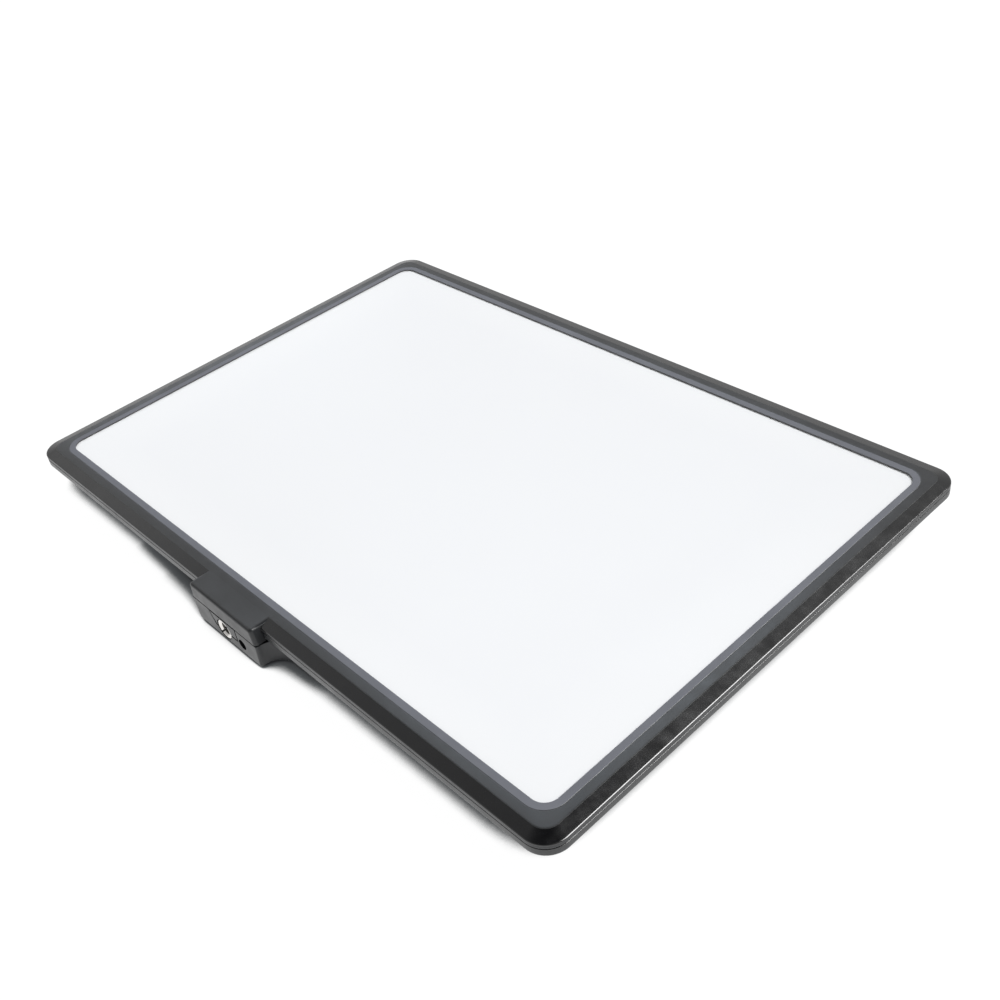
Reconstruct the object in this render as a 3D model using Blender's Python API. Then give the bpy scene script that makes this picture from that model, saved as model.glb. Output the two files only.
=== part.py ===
"""Slim edge-lit light box with a threaded mounting block on one long edge.

The light face looks up (+Z) and X runs along the long side. The part lies on the four feet of its
control housing, so z = 0 is the table, and the origin is under the middle of its outline. Lengths
are metres, written as millimetres times MM.
"""
import math

import bmesh
import bpy
from mathutils import Matrix, Vector

MM = 0.001

# Clear gap left between pieces that touch on the real object, and how far a cutter passes a face
GAP = 0.3 * MM
OVERCUT = 1.0 * MM

# Light face: the opening of the front frame and the height of its lip above the table
OPENING_LENGTH = 340 * MM
OPENING_WIDTH = 225 * MM
LIP_Z = 22.5 * MM
CORNER_STEPS = 6
ROUND_SEGMENTS = 24

# Front frame: widths are measured outwards from the opening, depths down from the lip
LIP_THICKNESS = 0.7 * MM
LIP_ROUNDING = 0.25 * MM
OPENING_RADIUS = 6.5 * MM
GROOVE_WIDTH = 3.3 * MM
GROOVE_HALF = 0.2 * MM
GROOVE_DEPTH = 0.3 * MM
GROOVE_RADIUS = 10 * MM
BAND_WIDTH = 7.0 * MM
BAND_DEPTH = 0.22 * MM
BAND_RADIUS = 7.5 * MM
SLOPE_START = BAND_WIDTH + 0.9 * MM
SLOPE_HIGH = 0.5 * MM
SLOPE_LOW = 1.45 * MM
SKIRT_ROUNDING = 0.35 * MM
FRAME_WIDTH = 12.4 * MM
FRAME_SEAM = 3.5 * MM
FRAME_WALL = 1.8 * MM
OUTER_RADIUS = 12.0 * MM
PLATE_DEPTH = 2.2 * MM
REBATE_WIDTH = 3.4 * MM
REBATE_RADIUS = 9 * MM

# Mounting block on the front long edge, a little left of its middle; it widens down to its seam
BLOCK_X = -4.5 * MM
BLOCK_LENGTH = 47 * MM
BLOCK_FLARE = 1.2 * MM
BLOCK_REACH = 17.4 * MM
BLOCK_SEAM = 8.5 * MM
BLOCK_WALL = 2.2 * MM
BLOCK_ROOT = 6.6 * MM
BLOCK_CORNER = 0.9 * MM
BLOCK_EDGE = 1.1 * MM
BLOCK_FRONT = -(OPENING_WIDTH / 2 + BLOCK_REACH)
BLOCK_OVERHANG = BLOCK_REACH - FRAME_WIDTH

# Layers under the frame, as depths of their upper and lower faces below the lip
DIFFUSER_WIDTH = 3.0 * MM
DIFFUSER_RADIUS = 8.7 * MM
DIFFUSER_TOP = 0.95 * MM
DIFFUSER_BOTTOM = 2.45 * MM
GUIDE_WIDTH = 2.8 * MM
GUIDE_RADIUS = 2.0 * MM
GUIDE_TOP = 2.7 * MM
GUIDE_BOTTOM = 5.2 * MM
REFLECTOR_TOP = 5.45 * MM
REFLECTOR_BOTTOM = 5.75 * MM
CHASSIS_WIDTH = 5.95 * MM
CHASSIS_END = 1.5 * MM
CHASSIS_TOP = 6.05 * MM
CHASSIS_BOTTOM = 6.6 * MM

# Rear cover, and the window in it over the driver board
COVER_FLOOR_TOP = 6.9 * MM
COVER_BOTTOM = 8.5 * MM
COVER_EDGE = 6.9 * MM
COVER_Z = LIP_Z - COVER_BOTTOM
WINDOW_LENGTH = 80 * MM
WINDOW_WIDTH = 104 * MM
WINDOW_RADIUS = 6 * MM
WINDOW_Y = -46 * MM

# Light strip
LED_COUNT = 30
LED_WIDTH = 3.0 * MM
LED_HEIGHT = 2.0 * MM
LED_BUMP = 0.7 * MM
STRIP_LENGTH = 330 * MM
STRIP_HEIGHT = 3.0 * MM
STRIP_BACK = 5.1 * MM
STRIP_FACE = 4.3 * MM

# Control housing under the rear cover, as wide as its board and controls need
POD_WIDTH = 112 * MM
POD_FRONT = -120 * MM
POD_BACK = 45 * MM
POD_CORNER = 8 * MM
POD_WALL = 2.0 * MM
POD_TOP = COVER_Z - GAP
POD_BOTTOM = 1.7 * MM
POD_FLOOR = POD_BOTTOM + POD_WALL
POD_LEVELS = [(POD_TOP, 0), (4.0 * MM, 0), (2.6 * MM, 0.3 * MM), (POD_BOTTOM, 1.2 * MM)]
NECK_HALF = BLOCK_LENGTH / 2 + BLOCK_FLARE
NECK_FILLET = 8.8 * MM
NECK_TAPER = 0.08
NOSE_WALL = 7 * MM
INNER_FILLET = 3.5 * MM
VENT_COUNT = 7
VENT_PITCH = 7 * MM
VENT_WIDTH = 2.4 * MM
VENT_LENGTH = 22 * MM
VENT_Y = 5 * MM

# Threaded bush, the carrier that clamps it, and the pin hole, on the front of the block
BUSH_X = BLOCK_X - 2 * MM
BUSH_Z = 7.6 * MM
BUSH_RADIUS = 4.75 * MM
BUSH_BORE = 3.175 * MM
BUSH_LENGTH = 11.5 * MM
BUSH_SEAT = 14.5 * MM
BUSH_SETBACK = 0.2 * MM
BUSH_CHAMFER = 0.4 * MM
MOUTH_CHAMFER = 0.5 * MM
SLOT_WIDTH = 1.5 * MM
SLOT_DEPTH = 1.2 * MM
SLOT_TURN = math.radians(-45)
CARRIER_LEFT = 9.0 * MM
CARRIER_RIGHT = 10 * MM
CARRIER_SLANT = 3.1 * MM
FLANGE_HALF = 11 * MM
FLANGE_THICKNESS = 3 * MM
PIN_HOLE_X = BUSH_X + 14 * MM
PIN_HOLE_RADIUS = 2.6 * MM
PIN_HOLE_DEPTH = 6 * MM

# Controls share one height on the side walls of the housing
CONTROL_Z = 8.4 * MM
RIGHT_WALL = BLOCK_X + POD_WIDTH / 2
LEFT_WALL = BLOCK_X - POD_WIDTH / 2

# Dimmer: distances along its axis are measured from the outside of the right wall
DIMMER_Y = -40 * MM
DIMMER_DEPTH = 9.2 * MM
DIMMER_NECK = 3.0 * MM
NUT_RADIUS = 4.6 * MM
NUT_FACE = 1.8 * MM
SHAFT_RADIUS = 2.0 * MM
SHAFT_START = -5 * MM
SHAFT_END = 8.2 * MM
KNOB_FLUTES = 16
KNOB_RADIUS = 4.7 * MM
FLUTE_DEPTH = 0.3 * MM
KNOB_START = 2.2 * MM
KNOB_END = 9.8 * MM
KNOB_EDGE = 0.7 * MM
POINTER_WIDTH = 0.8 * MM
POINTER_DEPTH = 0.4 * MM

# Rocker switch: half sizes along the wall (Y) and across it (Z), depths in from the left wall
SWITCH_Y = -52 * MM
SWITCH_DEPTH = 10.5 * MM
SWITCH_CORE_Y = 6.6 * MM
SWITCH_CORE_Z = 4.0 * MM
BEZEL_THICKNESS = 1.2 * MM
BEZEL_HALF_Y = 7.5 * MM
BEZEL_HALF_Z = 4.9 * MM
WELL_DEPTH = 3.6 * MM
WELL_HALF_Y = 5.85 * MM
WELL_HALF_Z = 3.1 * MM
PIN_BORE = 0.9 * MM
ROCKER_DEPTHS = (1.6 * MM, -1.9 * MM, -2.6 * MM)
ROCKER_HALF_Y = 5.2 * MM
ROCKER_HALF_Z = 2.8 * MM
ROCKER_TILT = math.radians(9)

# Low-voltage inlet
SOCKET_Y = -28 * MM
SOCKET_DEPTH = 13.5 * MM
SOCKET_SLEEVE = 4.0 * MM
SOCKET_BORE = 3.1 * MM
SOCKET_PIN = 1.0 * MM

# Driver board, the parts on it and the leads
BOARD_LENGTH = 70 * MM
BOARD_WIDTH = 56 * MM
BOARD_Y = -40 * MM
BOARD_BOTTOM = 7.3 * MM
BOARD_TOP = 8.9 * MM
CAN_PLACE = (BLOCK_X - 20 * MM, -30 * MM)
CAN_RADIUS = 4.0 * MM
CAN_HEIGHT = 5.6 * MM
INDUCTOR_PLACE = (BLOCK_X - 2 * MM, -46 * MM)
INDUCTOR_HALF = 5 * MM
INDUCTOR_CORNER = 1.5 * MM
INDUCTOR_HEIGHT = 4.5 * MM
CONNECTOR_Y = -63 * MM
CONNECTOR_SIZE = (4.0 * MM, 3.5 * MM, 4.6 * MM)
LEAD_X = 12.5 * MM
LEAD_PASSAGE = 2.0 * MM
LED_LEAD_RADIUS = 0.9 * MM
INNER_LEAD_RADIUS = 0.7 * MM

# Fasteners and feet
SCREW_SEGMENTS = 12
COVER_SCREW_HEAD = 2.3 * MM
COVER_SCREW_HOLE = 1.45 * MM
COVER_HEAD_PROUD = 0.7 * MM
COVER_BOSS = 2.3 * MM
COVER_SCREW_SIDE = OPENING_LENGTH / 2 + 5.8 * MM
COVER_SCREW_ROWS = [-105 * MM, -35 * MM, 35 * MM, 105 * MM]
COVER_SCREW_PLACES = [(side * COVER_SCREW_SIDE, y) for side in (-1, 1) for y in COVER_SCREW_ROWS]
POD_SCREW_HEAD = 2.6 * MM
POD_SCREW_HOLE = 1.5 * MM
POD_POST = 4.4 * MM
POD_WELL = 9.7 * MM
POD_SCREW_INSET = 6.5 * MM
POD_SCREW_SIDE = POD_WIDTH / 2 - POD_SCREW_INSET
POD_SCREW_ROWS = [POD_FRONT + POD_SCREW_INSET, POD_BACK - POD_SCREW_INSET]
POD_SCREW_PLACES = [(BLOCK_X + side * POD_SCREW_SIDE, y) for side in (-1, 1) for y in POD_SCREW_ROWS]
BOARD_SCREW_HOLE = 1.4 * MM
BOARD_POST = 3.0 * MM
BOARD_SCREW_SIDE = 31 * MM
BOARD_SCREW_ROWS = [BOARD_Y - 24 * MM, BOARD_Y + 24 * MM]
BOARD_SCREW_PLACES = [(BLOCK_X + side * BOARD_SCREW_SIDE, y) for side in (-1, 1) for y in BOARD_SCREW_ROWS]
FOOT_RADIUS = 5 * MM
FOOT_HEIGHT = 1.9 * MM
FOOT_RECESS = 0.5 * MM
FOOT_SIDE = 34 * MM
FOOT_ROWS = [-97 * MM, 28 * MM]
FOOT_PLACES = [(BLOCK_X + side * FOOT_SIDE, y) for side in (-1, 1) for y in FOOT_ROWS]

ROOT_NAME = "light_box"
X_AXIS = Vector((1, 0, 0))
Y_AXIS = Vector((0, 1, 0))
Z_AXIS = Vector((0, 0, 1))


def start_scene():
    """An empty scene with one root, set so that the origin is under the middle of the part."""
    for item in list(bpy.data.objects):
        bpy.data.objects.remove(item, do_unlink=True)
    root = bpy.data.objects.new(ROOT_NAME, None)
    root.location = (0, BLOCK_OVERHANG / 2, 0)
    bpy.context.scene.collection.objects.link(root)


def place(made):
    """Link an object into the scene, under the root."""
    bpy.context.scene.collection.objects.link(made)
    made.parent = bpy.data.objects[ROOT_NAME]


def material(name, colour, roughness, metallic=0.0):
    """A Principled material, made once for each name."""
    if name in bpy.data.materials:
        return bpy.data.materials[name]
    made = bpy.data.materials.new(name)
    made.use_nodes = True
    shader = made.node_tree.nodes["Principled BSDF"]
    shader.inputs["Base Color"].default_value = (*colour, 1.0)
    shader.inputs["Roughness"].default_value = roughness
    shader.inputs["Metallic"].default_value = metallic
    return made


BLACK_PLASTIC = ("black_plastic", (0.035, 0.035, 0.038), 0.42)
OPAL_ACRYLIC = ("opal_acrylic", (0.9, 0.91, 0.93), 0.35)
CLEAR_ACRYLIC = ("clear_acrylic", (0.8, 0.85, 0.85), 0.05)
WHITE_FILM = ("white_film", (0.92, 0.92, 0.9), 0.5)
ALUMINIUM = ("aluminium", (0.7, 0.71, 0.72), 0.4, 1.0)
NICKEL = ("nickel", (0.72, 0.69, 0.64), 0.25, 1.0)
STEEL = ("blackened_steel", (0.1, 0.1, 0.11), 0.4, 1.0)
CIRCUIT_BOARD = ("circuit_board", (0.02, 0.16, 0.07), 0.45)
WHITE_BOARD = ("white_circuit_board", (0.85, 0.86, 0.84), 0.45)
RUBBER = ("rubber", (0.025, 0.025, 0.027), 0.85)
COMPONENT = ("component_case", (0.06, 0.06, 0.065), 0.5)
LEAD_SKIN = ("lead_skin", (0.5, 0.03, 0.03), 0.5)


def add_object(name, mesh_builder, look):
    """One named object from a finished bmesh, with outward faces and smooth round surfaces."""
    weld = 0.001 * MM
    bmesh.ops.remove_doubles(mesh_builder, verts=mesh_builder.verts, dist=weld)
    bmesh.ops.dissolve_degenerate(mesh_builder, edges=mesh_builder.edges, dist=weld)
    bmesh.ops.recalc_face_normals(mesh_builder, faces=mesh_builder.faces)
    mesh = bpy.data.meshes.new(name)
    mesh_builder.to_mesh(mesh)
    mesh_builder.free()
    mesh.shade_smooth()
    mesh.set_sharp_from_angle(angle=math.radians(35))
    made = bpy.data.objects.new(name, mesh)
    place(made)
    if look:
        mesh.materials.append(material(*look))
    return made


def combine(target, mesh_builder, operation):
    """Cut a helper shape from an object, or join it on, and keep the helper as a wire guide."""
    count = len(target.modifiers) + 1
    helper = add_object(f"{target.name}_{operation.lower()}_{count}", mesh_builder, None)
    helper.hide_render = True
    helper.display_type = 'WIRE'
    modifier = target.modifiers.new(f"{operation.lower()} {count}", 'BOOLEAN')
    modifier.operation = operation
    modifier.solver = 'EXACT'
    modifier.object = helper


def loft(builder, rings, closed=False):
    """Skin rings of equal point counts; a closed loft joins its last ring to its first."""
    rows = [[builder.verts.new(point) for point in ring] for ring in rings]
    count = len(rows[0])
    pairs = list(zip(rows, rows[1:]))
    if closed:
        pairs.append((rows[-1], rows[0]))
    for lower, upper in pairs:
        for index in range(count):
            after = (index + 1) % count
            builder.faces.new((lower[index], lower[after], upper[after], upper[index]))
    if not closed:
        builder.faces.new(rows[0][::-1])
        builder.faces.new(rows[-1])
    return [vert for row in rows for vert in row]


def arc(center, radius, start, end, steps):
    """Points of a circular arc, with angles in degrees."""
    angles = [math.radians(start + (end - start) * step / steps) for step in range(steps + 1)]
    return [(center[0] + radius * math.cos(a), center[1] + radius * math.sin(a)) for a in angles]


def rounded_rectangle(half_x, half_y, radius, center=(0, 0), steps=CORNER_STEPS):
    points = []
    for side_x, side_y, start in ((1, -1, -90), (1, 1, 0), (-1, 1, 90), (-1, -1, 180)):
        middle = (center[0] + side_x * (half_x - radius), center[1] + side_y * (half_y - radius))
        points += arc(middle, radius, start, start + 90, steps)
    return points


def prism(builder, outline, low, high):
    """A straight prism on an outline in X and Y."""
    return loft(builder, [[(x, y, z) for x, y in outline] for z in (low, high)])


def side_prism(builder, outline, low, high):
    """A straight prism along Y on an outline in X and Z."""
    return loft(builder, [[(x, y, z) for x, z in outline] for y in (low, high)])


def box(builder, low, high):
    outline = [(low[0], low[1]), (high[0], low[1]), (high[0], high[1]), (low[0], high[1])]
    return prism(builder, outline, low[2], high[2])


def turned(builder, profile, origin, axis, segments, closed=False):
    """A body turned about an axis, from (radius, distance along the axis) pairs."""
    rings = []
    for radius, distance in profile:
        circle = arc((0, 0), radius, 0, 360, segments)[:-1]
        rings.append([(x, y, distance) for x, y in circle])
    verts = loft(builder, rings, closed)
    turn = Z_AXIS.rotation_difference(axis).to_matrix().to_4x4()
    bmesh.ops.transform(builder, matrix=Matrix.Translation(origin) @ turn, verts=verts)


def cylinder(builder, origin, axis, radius, length, segments=16):
    turned(builder, [(radius, 0), (radius, length)], origin, axis, segments)


def tube_along(name, route, radius, look):
    """A lead: a round tube along a smooth curve through its route."""
    steps = 5
    points = []
    stops = [Vector(stop) for stop in (route[0], *route, route[-1])]
    for before, start, end, after in zip(stops, stops[1:], stops[2:], stops[3:]):
        leave = (end - before) / 2
        arrive = (after - start) / 2
        for step in range(steps):
            t = step / steps
            ease = t * t * (3 - 2 * t)
            swing = leave * t * (1 - t) ** 2 - arrive * t * t * (1 - t)
            points.append(start.lerp(end, ease) + swing)
    points.append(stops[-1])
    curve = bpy.data.curves.new(name, 'CURVE')
    curve.dimensions = '3D'
    curve.bevel_depth = radius
    curve.bevel_resolution = 2
    curve.use_fill_caps = True
    spline = curve.splines.new('POLY')
    spline.points.add(len(points) - 1)
    for item, point in zip(spline.points, points):
        item.co = (*point, 1.0)
    curve.materials.append(material(*look))
    place(bpy.data.objects.new(name, curve))


def ring_at(width, depth, radius):
    """A rounded rectangle at a width outside the opening and a depth below the lip."""
    outline = rounded_rectangle(OPENING_LENGTH / 2 + width, OPENING_WIDTH / 2 + width, radius)
    return [(x, y, LIP_Z - depth) for x, y in outline]


# Front frame: one profile carried round the opening, which swells into the upper half of the block
FRAME_PROFILE = [
    (0, LIP_THICKNESS, OPENING_RADIUS),
    (0, LIP_ROUNDING, OPENING_RADIUS),
    (LIP_ROUNDING, 0, OPENING_RADIUS),
    (GROOVE_WIDTH - GROOVE_HALF, 0, GROOVE_RADIUS),
    (GROOVE_WIDTH, GROOVE_DEPTH, GROOVE_RADIUS),
    (GROOVE_WIDTH + GROOVE_HALF, BAND_DEPTH / 2, GROOVE_RADIUS),
    (BAND_WIDTH, BAND_DEPTH, BAND_RADIUS),
    (SLOPE_START, SLOPE_HIGH, BAND_RADIUS),
    (FRAME_WIDTH - SKIRT_ROUNDING, SLOPE_LOW, OUTER_RADIUS - SKIRT_ROUNDING),
    (FRAME_WIDTH, SLOPE_LOW + SKIRT_ROUNDING, OUTER_RADIUS),
    (FRAME_WIDTH, FRAME_SEAM, OUTER_RADIUS),
    (FRAME_WIDTH - FRAME_WALL, FRAME_SEAM, OUTER_RADIUS - FRAME_WALL),
    (FRAME_WIDTH - FRAME_WALL, PLATE_DEPTH, OUTER_RADIUS - FRAME_WALL),
    (BLOCK_ROOT, PLATE_DEPTH, BAND_RADIUS),
    (REBATE_WIDTH, PLATE_DEPTH, REBATE_RADIUS),
    (REBATE_WIDTH, LIP_THICKNESS, REBATE_RADIUS),
]
SWELL = range(7, 13)


def block_profile(reach, solid):
    """The frame's profile where it crosses the block, through a side wall or through the hollow."""
    inside = (BLOCK_ROOT, BLOCK_SEAM) if solid else (reach - BLOCK_WALL, PLATE_DEPTH)
    swell = [
        (reach - BLOCK_EDGE, BAND_DEPTH),
        (reach - BLOCK_EDGE / 4, BAND_DEPTH + BLOCK_EDGE / 4),
        (reach, BAND_DEPTH + BLOCK_EDGE),
        (reach, BLOCK_SEAM),
        (reach - BLOCK_WALL, BLOCK_SEAM),
        inside,
    ]
    flat = [(width, depth) for width, depth, radius in FRAME_PROFILE]
    return flat[:SWELL.start] + swell + flat[SWELL.stop:]


def block_stations():
    """Profiles along the front edge, in order of X: each block end has a round corner and a wall."""
    left_end = []
    for angle in (0, 30, 60, 90):
        turn = math.radians(angle)
        reach = BLOCK_REACH - BLOCK_CORNER * (1 - math.sin(turn))
        left_end.append((BLOCK_CORNER * (1 - math.cos(turn)), block_profile(reach, True)))
    left_end.append((BLOCK_WALL, block_profile(BLOCK_REACH, True)))
    left_end.append((BLOCK_WALL, block_profile(BLOCK_REACH, False)))
    plain = [(width, depth) for width, depth, radius in FRAME_PROFILE]
    half = BLOCK_LENGTH / 2
    left = [(BLOCK_X - half + along, -1, profile) for along, profile in left_end]
    right = [(BLOCK_X + half - along, 1, profile) for along, profile in reversed(left_end)]
    return [(BLOCK_X - half, 0, plain), *left, *right, (BLOCK_X + half, 0, plain)]


def build_front_frame():
    stations = block_stations()
    builder = bmesh.new()
    rings = []
    for index, (width, depth, radius) in enumerate(FRAME_PROFILE):
        ring = ring_at(width, depth, radius)
        for x, side, profile in stations:
            reach, drop = profile[index]
            flare = BLOCK_FLARE * (drop - BAND_DEPTH) / (BLOCK_SEAM - BAND_DEPTH) if index in SWELL else 0
            ring.append((x + side * flare, -(OPENING_WIDTH / 2 + reach), LIP_Z - drop))
        rings.append(ring)
    loft(builder, rings, closed=True)
    frame = add_object("front_frame", builder, BLACK_PLASTIC)
    bosses = bmesh.new()
    low = LIP_Z - CHASSIS_BOTTOM
    bore_depth = 4 * MM
    height = 5 * MM
    cup = [(COVER_SCREW_HOLE, bore_depth), (COVER_SCREW_HOLE, 0), (COVER_BOSS, 0), (COVER_BOSS, height)]
    for x, y in COVER_SCREW_PLACES:
        turned(bosses, cup, (x, y, low), Z_AXIS, SCREW_SEGMENTS)
    combine(frame, bosses, 'UNION')


def build_sheet(name, width, top, bottom, radius, look):
    """One flat sheet of the light stack, reaching a width past the opening on every side."""
    outline = rounded_rectangle(OPENING_LENGTH / 2 + width, OPENING_WIDTH / 2 + width, radius)
    builder = bmesh.new()
    prism(builder, outline, LIP_Z - bottom, LIP_Z - top)
    add_object(name, builder, look)


def build_chassis():
    """A sheet-metal tray with a flange along each long edge; the front flange backs the light strip."""
    thickness = CHASSIS_BOTTOM - CHASSIS_TOP
    outer = OPENING_WIDTH / 2 + CHASSIS_WIDTH
    inner = outer - thickness
    low = LIP_Z - CHASSIS_BOTTOM
    floor = LIP_Z - CHASSIS_TOP
    high = LIP_Z - GUIDE_TOP
    section = [(-outer, high), (-outer, low), (outer, low), (outer, high)]
    section += [(inner, high), (inner, floor), (-inner, floor), (-inner, high)]
    half = OPENING_LENGTH / 2 + CHASSIS_END
    builder = bmesh.new()
    loft(builder, [[(x, y, z) for y, z in section] for x in (-half, half)])
    chassis = add_object("chassis_plate", builder, ALUMINIUM)
    passage = bmesh.new()
    low_corner = (LEAD_X - LEAD_PASSAGE, -outer - OVERCUT, floor + OVERCUT)
    box(passage, low_corner, (LEAD_X + LEAD_PASSAGE, -inner + OVERCUT, high + OVERCUT))
    combine(chassis, passage, 'DIFFERENCE')


def build_led_strip():
    """A narrow board on edge, whose face steps out at each light package."""
    middle = LIP_Z - (GUIDE_TOP + GUIDE_BOTTOM) / 2
    low = middle - STRIP_HEIGHT / 2
    high = middle + STRIP_HEIGHT / 2
    face = -(OPENING_WIDTH / 2 + STRIP_FACE)
    back = -(OPENING_WIDTH / 2 + STRIP_BACK)

    def section(x, bump):
        package = [(face, middle - LED_HEIGHT / 2), (face + bump, middle - LED_HEIGHT / 2)]
        package += [(face + bump, middle + LED_HEIGHT / 2), (face, middle + LED_HEIGHT / 2)]
        outline = [(back, low), (face, low), *package, (face, high), (back, high)]
        return [(x, y, z) for y, z in outline]

    pitch = STRIP_LENGTH / LED_COUNT
    rings = [section(-STRIP_LENGTH / 2, 0)]
    for index in range(LED_COUNT):
        center = -STRIP_LENGTH / 2 + (index + 0.5) * pitch
        for x in (center - LED_WIDTH / 2, center + LED_WIDTH / 2):
            bumps = (0, LED_BUMP) if x < center else (LED_BUMP, 0)
            rings += [section(x, bump) for bump in bumps]
    rings.append(section(STRIP_LENGTH / 2, 0))
    builder = bmesh.new()
    loft(builder, rings)
    add_object("led_strip", builder, WHITE_BOARD)


def build_rear_cover():
    """A shallow tray: floor, sloped rim, edge wall and a tongue that enters the front frame."""
    tongue_inside = 9.0 * MM
    tongue_outside = 10.3 * MM
    tongue_top = PLATE_DEPTH + 0.4 * MM
    tongue_radius = 9.4 * MM
    floor_width = 8.4 * MM
    flat_width = 8.0 * MM
    rounding = 0.4 * MM
    rings = [
        ring_at(floor_width, COVER_FLOOR_TOP, tongue_radius - rounding),
        ring_at(tongue_inside, COVER_FLOOR_TOP - rounding, tongue_radius),
        ring_at(tongue_inside, tongue_top, tongue_radius),
        ring_at(tongue_outside, tongue_top, tongue_radius + rounding),
        ring_at(tongue_outside, FRAME_SEAM + GAP, tongue_radius + rounding),
        ring_at(FRAME_WIDTH, FRAME_SEAM + GAP, OUTER_RADIUS),
        ring_at(FRAME_WIDTH, COVER_EDGE, OUTER_RADIUS),
        ring_at(FRAME_WIDTH - rounding, COVER_EDGE + rounding, OUTER_RADIUS - rounding),
        ring_at(flat_width, COVER_BOTTOM, tongue_radius - 2 * rounding),
    ]
    builder = bmesh.new()
    loft(builder, rings)
    cover = add_object("rear_cover", builder, BLACK_PLASTIC)
    holes = bmesh.new()
    half = NECK_HALF + GAP
    root = -(OPENING_WIDTH / 2 + BLOCK_ROOT - GAP)
    box(holes, (BLOCK_X - half, BLOCK_FRONT, COVER_Z - OVERCUT), (BLOCK_X + half, root, LIP_Z))
    through = COVER_BOTTOM - COVER_FLOOR_TOP + OVERCUT
    window = rounded_rectangle(WINDOW_LENGTH / 2, WINDOW_WIDTH / 2, WINDOW_RADIUS, (BLOCK_X, WINDOW_Y))
    prism(holes, window, COVER_Z - OVERCUT, COVER_Z + through)
    head = COVER_SCREW_HEAD + GAP
    head_depth = 0.8 * MM
    hole = COVER_SCREW_HOLE
    recess = [(head, -OVERCUT), (head, head_depth), (hole, head_depth), (hole, through)]
    for x, y in COVER_SCREW_PLACES:
        turned(holes, recess, (x, y, COVER_Z), Z_AXIS, SCREW_SEGMENTS)
    for x, y in POD_SCREW_PLACES:
        start = (x, y, COVER_Z - OVERCUT)
        cylinder(holes, start, Z_AXIS, POD_SCREW_HOLE, through + OVERCUT, SCREW_SEGMENTS)
    combine(cover, holes, 'DIFFERENCE')


def pod_outline(wall_inset, neck_inset, nose_inset, fillet):
    """Plan of the control housing: a broad body, with a filleted neck that runs out to the block."""
    half = POD_WIDTH / 2 - wall_inset
    front = POD_FRONT + wall_inset
    back = POD_BACK - wall_inset
    neck = NECK_HALF - neck_inset
    nose = BLOCK_FRONT + nose_inset
    corner = POD_CORNER - wall_inset
    right = arc((neck - BLOCK_CORNER, nose + BLOCK_CORNER), BLOCK_CORNER, -90, 0, 3)
    right += arc((neck + fillet, front - fillet), fillet, 180, 90, 6)
    right += arc((half - corner, front + corner), corner, -90, 0, CORNER_STEPS)
    right += arc((half - corner, back - corner), corner, 0, 90, CORNER_STEPS)
    left = [(-x, y) for x, y in reversed(right)]
    return [(BLOCK_X + x, y) for x, y in right + left]


def carrier_outline(spread):
    """Front outline of the bush carrier in X and Z: a slanted left flank and an upright right one."""
    top = POD_TOP - GAP + 2 * spread
    low = BUSH_Z - spread
    left_low = BUSH_X - CARRIER_LEFT + CARRIER_SLANT - spread
    left_top = BUSH_X - CARRIER_LEFT - spread
    right = BUSH_X + CARRIER_RIGHT + spread
    return [(left_low, low), (right, low), (right, top), (left_top, top)]


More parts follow.
